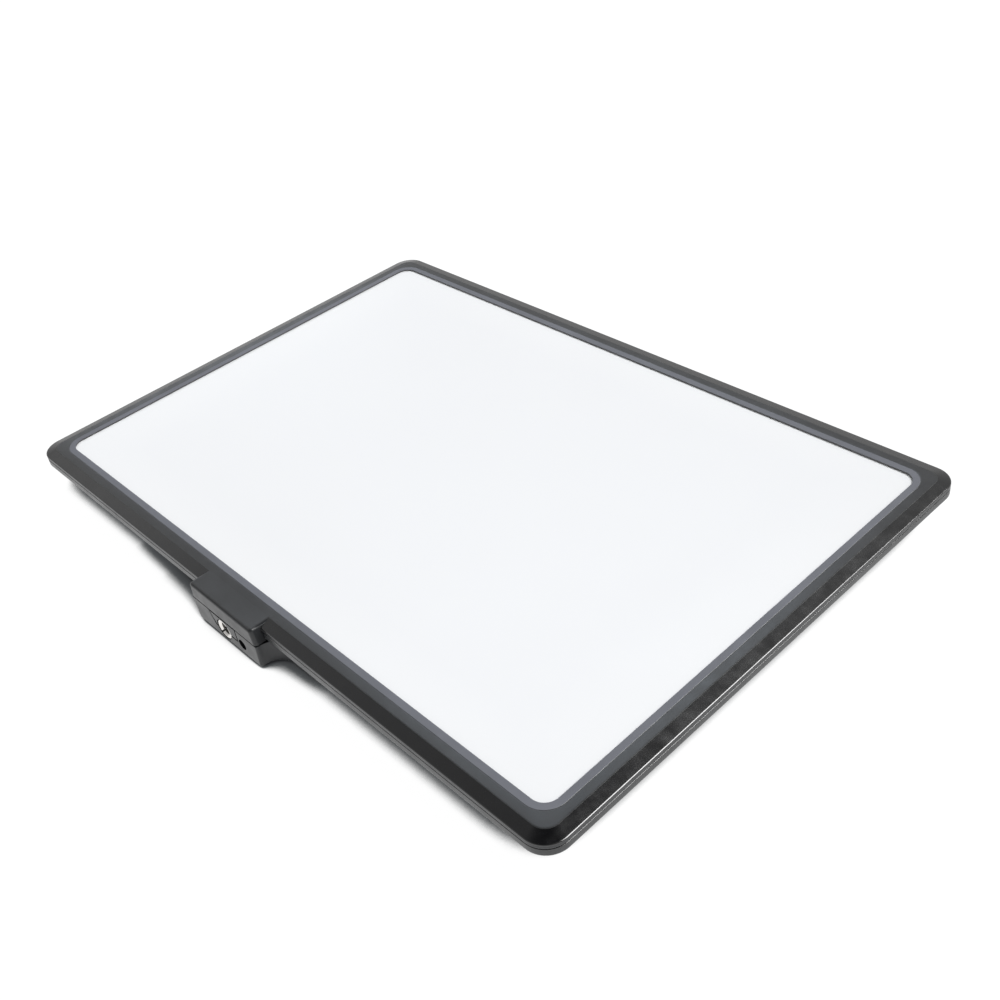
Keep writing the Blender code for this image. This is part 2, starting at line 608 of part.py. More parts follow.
def build_control_housing():
    rings = []
    for z, inset in POD_LEVELS:
        outline = pod_outline(inset, inset / 2 + NECK_TAPER * (POD_TOP - z), inset / 2, NECK_FILLET)
        rings.append([(x, y, z) for x, y in outline])
    builder = bmesh.new()
    loft(builder, rings)
    housing = add_object("control_housing", builder, BLACK_PLASTIC)

    hollow = bmesh.new()
    inner_rings = []
    over = POD_TOP + OVERCUT
    for z in (POD_FLOOR, over):
        outline = pod_outline(POD_WALL, POD_WALL + NECK_TAPER * (over - z), NOSE_WALL, INNER_FILLET)
        inner_rings.append([(x, y, z) for x, y in outline])
    loft(hollow, inner_rings)
    combine(housing, hollow, 'DIFFERENCE')

    nose_start = BLOCK_FRONT - OVERCUT
    cradle = bmesh.new()
    side_prism(cradle, carrier_outline(GAP), nose_start, BLOCK_FRONT + NOSE_WALL + OVERCUT)
    combine(housing, cradle, 'DIFFERENCE')
    groove = bmesh.new()
    cylinder(groove, (BUSH_X, nose_start, BUSH_Z), Y_AXIS, BUSH_RADIUS + GAP, BUSH_SEAT, ROUND_SEGMENTS)
    combine(housing, groove, 'DIFFERENCE')

    posts = bmesh.new()
    post_start = POD_FLOOR - OVERCUT
    for x, y in POD_SCREW_PLACES:
        cylinder(posts, (x, y, post_start), Z_AXIS, POD_POST, POD_TOP - GAP - post_start)
    for x, y in BOARD_SCREW_PLACES:
        cylinder(posts, (x, y, post_start), Z_AXIS, BOARD_POST, BOARD_BOTTOM - GAP - post_start)
    combine(housing, posts, 'UNION')

    openings = bmesh.new()
    head = POD_SCREW_HEAD + GAP
    well = [(head, 0), (head, POD_WELL), (POD_SCREW_HOLE, POD_WELL), (POD_SCREW_HOLE, over)]
    for x, y in POD_SCREW_PLACES:
        turned(openings, well, (x, y, 0), Z_AXIS, SCREW_SEGMENTS)
    pilot_start = POD_FLOOR + 0.5 * MM
    for x, y in BOARD_SCREW_PLACES:
        pilot = BOARD_BOTTOM - pilot_start + OVERCUT
        cylinder(openings, (x, y, pilot_start), Z_AXIS, BOARD_SCREW_HOLE, pilot, SCREW_SEGMENTS)
    for x, y in FOOT_PLACES:
        cylinder(openings, (x, y, 0), Z_AXIS, FOOT_RADIUS + GAP, POD_BOTTOM + FOOT_RECESS, ROUND_SEGMENTS)
    for index in range(VENT_COUNT):
        x = BLOCK_X + (index - (VENT_COUNT - 1) / 2) * VENT_PITCH
        slot = rounded_rectangle(VENT_WIDTH / 2, VENT_LENGTH / 2, VENT_WIDTH / 2, (x, VENT_Y), 3)
        prism(openings, slot, 0, POD_FLOOR + OVERCUT)
    through = POD_WALL + 4 * OVERCUT
    left_start = LEFT_WALL - 2 * OVERCUT
    right_start = RIGHT_WALL - through + 2 * OVERCUT
    cylinder(openings, (right_start, DIMMER_Y, CONTROL_Z), X_AXIS, DIMMER_NECK + GAP, through)
    socket_hole = SOCKET_SLEEVE + GAP
    cylinder(openings, (left_start, SOCKET_Y, CONTROL_Z), X_AXIS, socket_hole, through, ROUND_SEGMENTS)
    half_y = SWITCH_CORE_Y + GAP
    half_z = SWITCH_CORE_Z + GAP
    box(openings, (left_start, SWITCH_Y - half_y, CONTROL_Z - half_z),
        (left_start + through, SWITCH_Y + half_y, CONTROL_Z + half_z))
    pin_start = (PIN_HOLE_X, nose_start, BUSH_Z)
    cylinder(openings, pin_start, Y_AXIS, PIN_HOLE_RADIUS, PIN_HOLE_DEPTH + OVERCUT, ROUND_SEGMENTS)
    combine(housing, openings, 'DIFFERENCE')


def build_mount():
    """The bush carrier drops over the bush from above; the slotted bush takes the stand's screw."""
    nose_end = BLOCK_FRONT + NOSE_WALL + GAP
    builder = bmesh.new()
    side_prism(builder, carrier_outline(0), BLOCK_FRONT, nose_end + OVERCUT)
    carrier = add_object("bush_carrier", builder, BLACK_PLASTIC)
    flange = bmesh.new()
    box(flange, (BUSH_X - FLANGE_HALF, nose_end, POD_FLOOR + GAP),
        (BUSH_X + FLANGE_HALF, nose_end + FLANGE_THICKNESS, POD_TOP - GAP))
    combine(carrier, flange, 'UNION')
    seat = bmesh.new()
    seat_start = (BUSH_X, BLOCK_FRONT - OVERCUT, BUSH_Z)
    cylinder(seat, seat_start, Y_AXIS, BUSH_RADIUS + GAP, BUSH_SEAT, ROUND_SEGMENTS)
    combine(carrier, seat, 'DIFFERENCE')

    tube = [(BUSH_BORE, MOUTH_CHAMFER), (BUSH_BORE + MOUTH_CHAMFER, 0), (BUSH_RADIUS - BUSH_CHAMFER, 0)]
    tube += [(BUSH_RADIUS, BUSH_CHAMFER), (BUSH_RADIUS, BUSH_LENGTH), (BUSH_BORE, BUSH_LENGTH)]
    builder = bmesh.new()
    front = (BUSH_X, BLOCK_FRONT + BUSH_SETBACK, BUSH_Z)
    turned(builder, tube, front, Y_AXIS, ROUND_SEGMENTS, closed=True)
    bush = add_object("threaded_bush", builder, NICKEL)
    slot = bmesh.new()
    reach = BUSH_RADIUS + OVERCUT
    verts = box(slot, (-reach, -OVERCUT, -SLOT_WIDTH / 2), (reach, SLOT_DEPTH, SLOT_WIDTH / 2))
    across = Matrix.Translation(front) @ Matrix.Rotation(SLOT_TURN, 4, 'Y')
    bmesh.ops.transform(slot, matrix=across, verts=verts)
    combine(bush, slot, 'DIFFERENCE')


def build_driver():
    corner = 2 * MM
    outline = rounded_rectangle(BOARD_LENGTH / 2, BOARD_WIDTH / 2, corner, (BLOCK_X, BOARD_Y), 2)
    builder = bmesh.new()
    prism(builder, outline, BOARD_BOTTOM, BOARD_TOP)
    board = add_object("driver_board", builder, CIRCUIT_BOARD)
    holes = bmesh.new()
    for x, y in BOARD_SCREW_PLACES:
        start = (x, y, BOARD_BOTTOM - OVERCUT)
        through = BOARD_TOP - BOARD_BOTTOM + 2 * OVERCUT
        cylinder(holes, start, Z_AXIS, BOARD_SCREW_HOLE, through, SCREW_SEGMENTS)
    combine(board, holes, 'DIFFERENCE')

    seat = BOARD_TOP + GAP
    rim = 0.4 * MM
    can = [(CAN_RADIUS - rim, 0), (CAN_RADIUS, rim)]
    can += [(CAN_RADIUS, CAN_HEIGHT - rim), (CAN_RADIUS - rim, CAN_HEIGHT)]
    builder = bmesh.new()
    turned(builder, can, (*CAN_PLACE, seat), Z_AXIS, 16)
    add_object("input_capacitor", builder, ALUMINIUM)

    builder = bmesh.new()
    case = rounded_rectangle(INDUCTOR_HALF, INDUCTOR_HALF, INDUCTOR_CORNER, INDUCTOR_PLACE, 3)
    prism(builder, case, seat, seat + INDUCTOR_HEIGHT)
    add_object("power_inductor", builder, COMPONENT)

    half_x, half_y, height = CONNECTOR_SIZE
    wall = 1.0 * MM
    floor = 0.8 * MM
    back_wall = 2 * MM
    builder = bmesh.new()
    box(builder, (LEAD_X - half_x, CONNECTOR_Y - half_y, seat),
        (LEAD_X + half_x, CONNECTOR_Y + half_y, seat + height))
    connector = add_object("led_connector", builder, WHITE_BOARD)
    mouth = bmesh.new()
    box(mouth, (LEAD_X - half_x + wall, CONNECTOR_Y - half_y - OVERCUT, seat + floor),
        (LEAD_X + half_x - wall, CONNECTOR_Y + half_y - back_wall, seat + height - floor))
    combine(connector, mouth, 'DIFFERENCE')


def build_leads():
    """Leads that the housing holds all the way: board to light strip, and controls to board."""
    rise = BLOCK_FRONT + NOSE_WALL + 1.6 * MM
    run_z = 10 * MM
    run_start = -95 * MM
    run_end = -113 * MM
    bend = 1.2 * MM
    strip_back = -(OPENING_WIDTH / 2 + STRIP_BACK) - GAP
    strip_z = LIP_Z - (GUIDE_TOP + GUIDE_BOTTOM) / 2
    plug_z = BOARD_TOP + GAP + CONNECTOR_SIZE[2] / 2
    plug_in = CONNECTOR_Y + 1 * MM
    plug_out = CONNECTOR_Y - 8 * MM
    route = [(LEAD_X, plug_in, plug_z), (LEAD_X, plug_out, plug_z)]
    route += [(LEAD_X, run_start, run_z), (LEAD_X, run_end, run_z), (LEAD_X, rise, POD_TOP)]
    route += [(LEAD_X, rise, strip_z - bend), (LEAD_X, strip_back, strip_z)]
    tube_along("led_lead", route, LED_LEAD_RADIUS, LEAD_SKIN)
    pad_z = BOARD_TOP + GAP + 0.8 * MM
    pad_inset = 4 * MM
    board_right = BLOCK_X + BOARD_LENGTH / 2 - pad_inset
    board_left = BLOCK_X - BOARD_LENGTH / 2 + pad_inset
    leads = {
        "dimmer_lead": (RIGHT_WALL - POD_WALL - GAP - DIMMER_DEPTH - GAP, board_right, DIMMER_Y),
        "switch_lead": (LEFT_WALL + SWITCH_DEPTH + GAP, board_left, SWITCH_Y),
        "socket_lead": (LEFT_WALL + SOCKET_DEPTH + 0.5 * MM, board_left, SOCKET_Y),
    }
    for name, (start_x, end_x, y) in leads.items():
        arch = ((start_x + end_x) / 2, y, pad_z + bend)
        tube_along(name, [(start_x, y, CONTROL_Z), arch, (end_x, y, pad_z)], INNER_LEAD_RADIUS, LEAD_SKIN)


def build_dimmer():
    """Potentiometer behind the right wall, its nut outside, and a fluted knob on its shaft."""
    inner = RIGHT_WALL - POD_WALL - GAP
    half_y = 4.9 * MM
    half_z = 4.3 * MM
    overlap = 0.7 * MM
    neck_length = 4.6 * MM
    bore_depth = 3.5 * MM
    builder = bmesh.new()
    box(builder, (inner - DIMMER_DEPTH, DIMMER_Y - half_y, CONTROL_Z - half_z),
        (inner, DIMMER_Y + half_y, CONTROL_Z + half_z))
    body = add_object("potentiometer", builder, COMPONENT)
    neck = bmesh.new()
    cylinder(neck, (inner - overlap, DIMMER_Y, CONTROL_Z), X_AXIS, DIMMER_NECK, neck_length)
    combine(body, neck, 'UNION')
    bore = bmesh.new()
    bore_start = (inner - bore_depth, DIMMER_Y, CONTROL_Z)
    cylinder(bore, bore_start, X_AXIS, SHAFT_RADIUS + GAP, bore_depth + neck_length + OVERCUT)
    combine(body, bore, 'DIFFERENCE')

    builder = bmesh.new()
    hexagon = arc((0, 0), NUT_RADIUS, 0, 360, 6)[:-1]
    nut_faces = (RIGHT_WALL + GAP, RIGHT_WALL + NUT_FACE)
    loft(builder, [[(x, DIMMER_Y + y, CONTROL_Z + z) for y, z in hexagon] for x in nut_faces])
    nut = add_object("potentiometer_nut", builder, NICKEL)
    thread = bmesh.new()
    thread_start = (RIGHT_WALL - OVERCUT, DIMMER_Y, CONTROL_Z)
    cylinder(thread, thread_start, X_AXIS, DIMMER_NECK + GAP, NUT_FACE + 2 * OVERCUT)
    combine(nut, thread, 'DIFFERENCE')

    axis = bpy.data.objects.new("dimmer_axis", None)
    axis.location = (RIGHT_WALL, DIMMER_Y, CONTROL_Z)
    place(axis)
    rod = [(SHAFT_RADIUS, SHAFT_START), (SHAFT_RADIUS, SHAFT_END - GAP), (SHAFT_RADIUS - GAP, SHAFT_END)]
    builder = bmesh.new()
    turned(builder, rod, (0, 0, 0), X_AXIS, 16)
    shaft = add_object("potentiometer_shaft", builder, NICKEL)
    shaft.parent = axis

    points = 2 * KNOB_FLUTES
    fluted = [KNOB_RADIUS if index % 2 else KNOB_RADIUS - FLUTE_DEPTH for index in range(points)]
    bore = [SHAFT_RADIUS + GAP] * points
    edge = [radius - KNOB_EDGE for radius in fluted]
    levels = [(bore, SHAFT_END + GAP), (bore, KNOB_START), (fluted, KNOB_START)]
    levels += [(fluted, KNOB_END - KNOB_EDGE), (edge, KNOB_END)]
    turns = [2 * math.pi * index / points for index in range(points)]
    rings = []
    for radii, x in levels:
        rings.append([(x, radius * math.cos(a), radius * math.sin(a)) for radius, a in zip(radii, turns)])
    builder = bmesh.new()
    loft(builder, rings)
    knob = add_object("dimmer_knob", builder, BLACK_PLASTIC)
    knob.parent = axis
    mark = bmesh.new()
    inner_end = 1.2 * MM
    verts = box(mark, (KNOB_END - POINTER_DEPTH, -POINTER_WIDTH / 2, inner_end),
                (KNOB_END + OVERCUT, POINTER_WIDTH / 2, KNOB_RADIUS + OVERCUT))
    bmesh.ops.translate(mark, vec=axis.location, verts=verts)
    combine(knob, mark, 'DIFFERENCE')


def build_switch():
    """Rocker switch snapped into the left wall; the rocker turns on a pin across its housing."""
    bezel_face = LEFT_WALL - GAP - BEZEL_THICKNESS
    pivot = Vector((LEFT_WALL + GAP, SWITCH_Y, CONTROL_Z))

    def centred_box(start, end, half_y, half_z):
        builder = bmesh.new()
        box(builder, (start, SWITCH_Y - half_y, CONTROL_Z - half_z),
            (end, SWITCH_Y + half_y, CONTROL_Z + half_z))
        return builder

    bezel = centred_box(bezel_face, LEFT_WALL - GAP, BEZEL_HALF_Y, BEZEL_HALF_Z)
    body = add_object("switch_housing", bezel, BLACK_PLASTIC)
    core = centred_box(LEFT_WALL - OVERCUT, LEFT_WALL + SWITCH_DEPTH, SWITCH_CORE_Y, SWITCH_CORE_Z)
    combine(body, core, 'UNION')
    well = centred_box(bezel_face - OVERCUT, LEFT_WALL + WELL_DEPTH, WELL_HALF_Y, WELL_HALF_Z)
    combine(body, well, 'DIFFERENCE')
    pin_holes = bmesh.new()
    hole_half = BEZEL_HALF_Z + OVERCUT
    cylinder(pin_holes, pivot - Z_AXIS * hole_half, Z_AXIS, PIN_BORE, 2 * hole_half, SCREW_SEGMENTS)
    combine(body, pin_holes, 'DIFFERENCE')

    builder = bmesh.new()
    pin_half = SWITCH_CORE_Z - 0.1 * MM
    cylinder(builder, pivot - Z_AXIS * pin_half, Z_AXIS, PIN_BORE - GAP, 2 * pin_half, SCREW_SEGMENTS)
    add_object("rocker_pin", builder, STEEL)

    back, waist, tip = ROCKER_DEPTHS
    boat = [(back, -ROCKER_HALF_Y), (back, ROCKER_HALF_Y), (tip, ROCKER_HALF_Y)]
    boat += [(waist, 0), (tip, -ROCKER_HALF_Y)]
    builder = bmesh.new()
    prism(builder, boat, -ROCKER_HALF_Z, ROCKER_HALF_Z)
    rocker = add_object("power_rocker", builder, BLACK_PLASTIC)
    rocker.location = pivot
    rocker.rotation_euler = (0, 0, -ROCKER_TILT)
    hole = bmesh.new()
    bore_half = ROCKER_HALF_Z + OVERCUT
    cylinder(hole, pivot - Z_AXIS * bore_half, Z_AXIS, PIN_BORE, 2 * bore_half, SCREW_SEGMENTS)
    combine(rocker, hole, 'DIFFERENCE')


def build_socket():
    """Round low-voltage inlet in the left wall, with its centre pin."""
    half_y = 4.5 * MM
    half_z = 4.3 * MM
    sleeve_length = 4 * MM
    bore_depth = 9.5 * MM
    pin_start = 1.0 * MM
    pin_round = 0.4 * MM
    pin_end = SOCKET_DEPTH - 0.5 * MM
    mouth = (LEFT_WALL + 0.2 * MM, SOCKET_Y, CONTROL_Z)
    builder = bmesh.new()
    box(builder, (LEFT_WALL + POD_WALL + GAP, SOCKET_Y - half_y, CONTROL_Z - half_z),
        (LEFT_WALL + SOCKET_DEPTH, SOCKET_Y + half_y, CONTROL_Z + half_z))
    socket = add_object("power_socket", builder, COMPONENT)
    sleeve = bmesh.new()
    cylinder(sleeve, mouth, X_AXIS, SOCKET_SLEEVE, sleeve_length, ROUND_SEGMENTS)
    combine(socket, sleeve, 'UNION')
    bores = bmesh.new()
    pin_hole = SOCKET_PIN + GAP
    steps = [(SOCKET_BORE, -OVERCUT), (SOCKET_BORE, bore_depth), (pin_hole, bore_depth)]
    steps.append((pin_hole, SOCKET_DEPTH + OVERCUT))
    turned(bores, steps, mouth, X_AXIS, ROUND_SEGMENTS)
    combine(socket, bores, 'DIFFERENCE')
    rod = [(SOCKET_PIN - pin_round, pin_start), (SOCKET_PIN, pin_start + pin_round), (SOCKET_PIN, pin_end)]
    builder = bmesh.new()
    turned(builder, rod, mouth, X_AXIS, SCREW_SEGMENTS)
    add_object("socket_pin", builder, NICKEL)


def build_fasteners():
    """Screws point up from their heads; each foot is glued into a shallow recess."""
    def screw(name, spot, start, head_radius, head_height, shank_radius, length, direction=1):
        rounding = 0.3 * MM
        profile = [(head_radius - rounding, 0), (head_radius, rounding), (head_radius, head_height)]
        profile += [(shank_radius, head_height), (shank_radius, head_height + length)]
        builder = bmesh.new()
        turned(builder, profile, (*spot, start), Z_AXIS * direction, SCREW_SEGMENTS)
        add_object(name, builder, STEEL)

    cover_start = COVER_Z - COVER_HEAD_PROUD
    cover_size = (COVER_SCREW_HEAD, 1.2 * MM, COVER_SCREW_HOLE - GAP, 4.5 * MM)
    for index, spot in enumerate(COVER_SCREW_PLACES, 1):
        screw(f"cover_screw_{index}", spot, cover_start, *cover_size)
    pod_head = 1.7 * MM
    pod_start = POD_WELL - GAP - pod_head
    pod_size = (POD_SCREW_HEAD, pod_head, POD_SCREW_HOLE - GAP, 5.9 * MM)
    for index, spot in enumerate(POD_SCREW_PLACES, 1):
        screw(f"housing_screw_{index}", spot, pod_start, *pod_size)
    board_head = 1.5 * MM
    board_start = BOARD_TOP + GAP + board_head
    board_size = (COVER_SCREW_HEAD, board_head, BOARD_SCREW_HOLE - GAP, 4.7 * MM)
    for index, spot in enumerate(BOARD_SCREW_PLACES, 1):
        screw(f"board_screw_{index}", spot, board_start, *board_size, direction=-1)
    rounding = 0.4 * MM
    pad = [(FOOT_RADIUS - rounding, 0), (FOOT_RADIUS, rounding), (FOOT_RADIUS, FOOT_HEIGHT)]
    for index, (x, y) in enumerate(FOOT_PLACES, 1):
        builder = bmesh.new()
        turned(builder, pad, (x, y, 0), Z_AXIS, ROUND_SEGMENTS)
        add_object(f"foot_{index}", builder, RUBBER)


start_scene()
build_front_frame()
build_sheet("diffuser_plate", DIFFUSER_WIDTH, DIFFUSER_TOP, DIFFUSER_BOTTOM, DIFFUSER_RADIUS, OPAL_ACRYLIC)
build_sheet("light_guide_plate", GUIDE_WIDTH, GUIDE_TOP, GUIDE_BOTTOM, GUIDE_RADIUS, CLEAR_ACRYLIC)
build_sheet("reflector_sheet", GUIDE_WIDTH, REFLECTOR_TOP, REFLECTOR_BOTTOM, GUIDE_RADIUS, WHITE_FILM)
build_chassis()
build_led_strip()
build_rear_cover()
build_control_housing()
build_mount()
build_driver()
build_leads()
build_dimmer()
build_switch()
build_socket()
build_fasteners()
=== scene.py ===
# Finished look of the light box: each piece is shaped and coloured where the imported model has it.
import math

import bmesh
import bpy
from mathutils import Matrix, Vector


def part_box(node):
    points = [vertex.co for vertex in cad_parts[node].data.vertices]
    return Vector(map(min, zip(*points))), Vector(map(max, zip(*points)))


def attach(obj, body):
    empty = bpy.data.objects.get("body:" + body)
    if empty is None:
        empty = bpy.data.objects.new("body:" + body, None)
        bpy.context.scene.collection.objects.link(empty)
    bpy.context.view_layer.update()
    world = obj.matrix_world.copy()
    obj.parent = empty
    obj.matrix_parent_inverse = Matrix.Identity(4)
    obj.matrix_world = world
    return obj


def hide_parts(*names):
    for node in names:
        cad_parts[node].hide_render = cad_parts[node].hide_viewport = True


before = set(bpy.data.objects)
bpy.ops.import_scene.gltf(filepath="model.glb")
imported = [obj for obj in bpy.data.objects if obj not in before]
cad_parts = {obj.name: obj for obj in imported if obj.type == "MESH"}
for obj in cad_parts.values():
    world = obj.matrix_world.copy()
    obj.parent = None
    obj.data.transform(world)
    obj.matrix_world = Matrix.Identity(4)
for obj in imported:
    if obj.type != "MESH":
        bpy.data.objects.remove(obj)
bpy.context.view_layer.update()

# Front frame: a ring of black styrene moulded in one piece with the upper half of the mounting block.
# Its inner band is grained, the next band is satin and the outer slope is polished in the mould.
# The grained band's lighter, cool grey colour is partly a painted sheen, for the light that its grain
# catches.
# It holds the diffuser under its lip and takes the screws of the rear cover from behind.
MM = 0.001
CORNER_SEGMENTS = 16
LIP_HOLD = 3.0 * MM
plate_low, plate_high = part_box("diffuser_plate")
housing_low, housing_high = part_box("control_housing")
middle = (plate_low + plate_high) / 2
opening_half_x = (plate_high.x - plate_low.x) / 2 - LIP_HOLD
opening_half_y = (plate_high.y - plate_low.y) / 2 - LIP_HOLD
lip_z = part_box("front_frame")[1].z
block_x = (housing_low.x + housing_high.x) / 2
block_front = housing_low.y
POLISHED, GRAINED, SATIN, DULL = range(4)

# Outward, downward and corner radius in millimetres, then the finish up to the next line
FRAME_PROFILE = [
    (0.00, 0.70, 6.50, POLISHED),
    (0.00, 0.16, 6.50, GRAINED),
    (0.05, 0.05, 6.55, GRAINED),
    (0.16, 0.00, 6.65, GRAINED),
    (3.02, 0.005, 9.70, GRAINED),
    (3.12, 0.03, 9.80, SATIN),
    (3.20, 0.12, 9.85, SATIN),
    (3.32, 0.13, 9.95, SATIN),
    (3.40, 0.08, 10.00, SATIN),
    (3.52, 0.05, 10.00, SATIN),
    (6.60, 0.17, 6.10, SATIN),
    (6.95, 0.20, 6.20, SATIN),
    (7.25, 0.26, 6.30, POLISHED),
    (7.55, 0.35, 6.40, POLISHED),
    (11.85, 1.40, 9.95, POLISHED),
    (12.15, 1.52, 10.25, POLISHED),
    (12.33, 1.68, 10.43, POLISHED),
    (12.40, 1.90, 10.50, DULL),
    (12.40, 3.24, 10.50, POLISHED),
    (12.33, 3.40, 10.43, POLISHED),
    (12.15, 3.50, 10.25, POLISHED),
    (10.60, 3.49, 8.70, POLISHED),
    (10.60, 2.20, 8.70, POLISHED),
    (3.40, 2.19, 9.00, POLISHED),
    (3.40, 0.71, 9.00, POLISHED),
]


def start_piece(name):
    """An empty mesh at the origin, open in edit mode, with nothing else selected."""
    bpy.ops.object.select_all(action='DESELECT')
    bpy.ops.mesh.primitive_plane_add(size=MM)
    piece = bpy.context.object
    piece.name = name
    piece.data.name = name
    bpy.ops.object.mode_set(mode='EDIT')
    bpy.ops.mesh.delete(type='VERT')
    return piece


def choose(piece, kind, wanted):
    """Select the faces, edges or vertices of the open mesh that pass a test, and nothing else."""
    bpy.ops.mesh.select_mode(type=kind)
    bpy.ops.mesh.select_all(action='DESELECT')
    skin = bmesh.from_edit_mesh(piece.data)
    items = {'FACE': skin.faces, 'EDGE': skin.edges, 'VERT': skin.verts}[kind]
    for item in items:
        if wanted(item):
            item.select_set(True)
    skin.select_flush_mode()
    bmesh.update_edit_mesh(piece.data)


def stack_rings(piece, profile, closed):
    """Rounded rectangles bridged in order into a moulding round the opening.

    The rings stand a metre apart while they are bridged, and are then let down to their heights.
    """
    for level, (outward, _, corner, _) in enumerate(profile):
        spot = (middle.x, middle.y, level)
        half_sides = (opening_half_x + outward * MM, opening_half_y + outward * MM, 1)
        bpy.ops.mesh.primitive_plane_add(size=2, location=spot)
        bpy.ops.transform.resize(value=half_sides, center_override=spot)
        bpy.ops.mesh.bevel(offset=corner * MM, segments=CORNER_SEGMENTS, affect='VERTICES')
        bpy.ops.mesh.delete(type='ONLY_FACE')
    bpy.ops.mesh.select_mode(type='EDGE')
    bpy.ops.mesh.select_all(action='SELECT')
    bpy.ops.mesh.bridge_edge_loops(type='CLOSED' if closed else 'SINGLE')
    if not closed:
        for level in (0, len(profile) - 1):
            choose(piece, 'EDGE', lambda edge: all(round(vert.co.z) == level for vert in edge.verts))
            bpy.ops.mesh.edge_face_add()
    skin = bmesh.from_edit_mesh(piece.data)
    for face in skin.faces:
        levels = {round(vert.co.z) for vert in face.verts}
        across_the_end = max(levels) - min(levels) > 1
        face.material_index = profile[max(levels) if across_the_end else min(levels)][3]
    for vert in skin.verts:
        vert.co.z = lip_z - profile[round(vert.co.z)][1] * MM
    bmesh.update_edit_mesh(piece.data)
    bpy.ops.mesh.select_all(action='SELECT')
    bpy.ops.mesh.normals_make_consistent(inside=False)


def close_piece(piece):
    """Leave edit mode with the piece alone selected."""
    bpy.ops.object.mode_set(mode='OBJECT')
    bpy.ops.object.select_all(action='DESELECT')
    bpy.context.view_layer.objects.active = piece
    piece.select_set(True)


front = start_piece("frame_moulding")
stack_rings(front, FRAME_PROFILE, closed=True)
close_piece(front)

BLOCK_LENGTH = 47 * MM
BLOCK_FLARE = 1.2 * MM
BLOCK_SEAM = 8.36 * MM
BLOCK_WALL = 2.2 * MM
BLOCK_ROOF = 2.4 * MM
BLOCK_ROOT = 6.2 * MM
BLOCK_CORNER = 1.8 * MM
BLOCK_EDGE = 1.35 * MM
BLOCK_DROP = 0.19 * MM
SEAM_BREAK = 0.18 * MM
NECK_HALF = BLOCK_LENGTH / 2 + BLOCK_FLARE
block_back = middle.y - opening_half_y - BLOCK_ROOT
block_low_z = lip_z - BLOCK_SEAM


def add_box(low, high):
    """A box between two corners, in the open mesh, left selected."""
    low = Vector(low)
    high = Vector(high)
    spot = (low + high) / 2
    bpy.ops.mesh.primitive_cube_add(size=1, location=spot)
    bpy.ops.transform.resize(value=high - low, center_override=spot)


def middle_of(edge):
    return (edge.verts[0].co + edge.verts[1].co) / 2


def runs_along(axis):
    """A test for edges that go more than a millimetre along an axis."""
    index = 'XYZ'.index(axis)
    return lambda edge: abs(edge.verts[0].co[index] - edge.verts[1].co[index]) > MM


def faces_along(axis, sign):
    """A test for faces that look straight along an axis, forwards or backwards."""
    index = 'XYZ'.index(axis)
    return lambda face: sign * face.normal[index] > 0.99


def combine(piece, tool, operation):
    """Join a second shape to a piece or cut it away, and remove the second shape."""
    modifier = piece.modifiers.new("combine", 'BOOLEAN')
    modifier.operation = operation
    modifier.solver = 'EXACT'
    modifier.object = tool
    bpy.ops.object.select_all(action='DESELECT')
    bpy.context.view_layer.objects.active = piece
    piece.select_set(True)
    bpy.ops.object.modifier_apply(modifier=modifier.name)
    bpy.data.objects.remove(tool)


def soften(piece, width, segments=2):
    """Break the sharp edges of a finished piece, and keep its flat faces flat in shading."""
    bpy.ops.object.select_all(action='DESELECT')
    bpy.context.view_layer.objects.active = piece
    piece.select_set(True)
    sharp = math.radians(40)
    if width:
        edges = piece.modifiers.new("edges", 'BEVEL')
        edges.width = width
        edges.segments = segments
        edges.limit_method = 'ANGLE'
        edges.angle_limit = sharp
        edges.material = -1
        bpy.ops.object.modifier_apply(modifier=edges.name)
    bpy.ops.object.shade_smooth_by_angle(angle=sharp)
    weighted = piece.modifiers.new("weighted", 'WEIGHTED_NORMAL')
    weighted.keep_sharp = True
    bpy.ops.object.modifier_apply(modifier=weighted.name)


upright = runs_along('Z')
block = start_piece("block_crown")
add_box((block_x - BLOCK_LENGTH / 2, block_front, block_low_z),
        (block_x + BLOCK_LENGTH / 2, block_back, lip_z - BLOCK_DROP))
choose(block, 'VERT', lambda vert: vert.co.z < block_low_z + MM)
spread = NECK_HALF / (BLOCK_LENGTH / 2)
bpy.ops.transform.resize(value=(spread, 1, 1), center_override=(block_x, block_front, block_low_z))
choose(block, 'EDGE', lambda edge: upright(edge) and abs(middle_of(edge).y - block_front) < MM)
bpy.ops.mesh.bevel(offset=BLOCK_CORNER, segments=8)
choose(block, 'EDGE', lambda edge: all(vert.co.z < block_low_z + MM for vert in edge.verts)
       and middle_of(edge).y < block_back - MM / 10)
bpy.ops.mesh.bevel(offset=SEAM_BREAK, segments=2)
choose(block, 'EDGE', lambda edge: all(vert.co.z > lip_z - MM for vert in edge.verts)
       and middle_of(edge).y < block_back - MM / 10)
bpy.ops.mesh.bevel(offset=BLOCK_EDGE, segments=6)
choose(block, 'FACE', faces_along('Z', -1))
bpy.ops.mesh.inset(thickness=BLOCK_WALL)
bpy.ops.mesh.extrude_region_move(TRANSFORM_OT_translate={"value": (0, 0, BLOCK_SEAM - BLOCK_ROOF)})
close_piece(block)
for face in block.data.polygons:
    face.material_index = SATIN if face.normal.z > 0.9 else DULL
combine(front, block, 'UNION')
soften(front, 0)


def new_finish(name):
    """A material, its node tree, its shader and the Object coordinates of the piece."""
    made = bpy.data.materials.new(name)
    made.use_nodes = True
    tree = made.node_tree
    place = tree.nodes.new('ShaderNodeTexCoord').outputs["Object"]
    return made, tree, tree.nodes["Principled BSDF"], place


def add_noise(tree, place, scale, detail=3.0):
    noise = tree.nodes.new('ShaderNodeTexNoise')
    noise.inputs["Scale"].default_value = scale
    noise.inputs["Detail"].default_value = detail
    tree.links.new(place, noise.inputs["Vector"])
    return noise.outputs["Fac"]


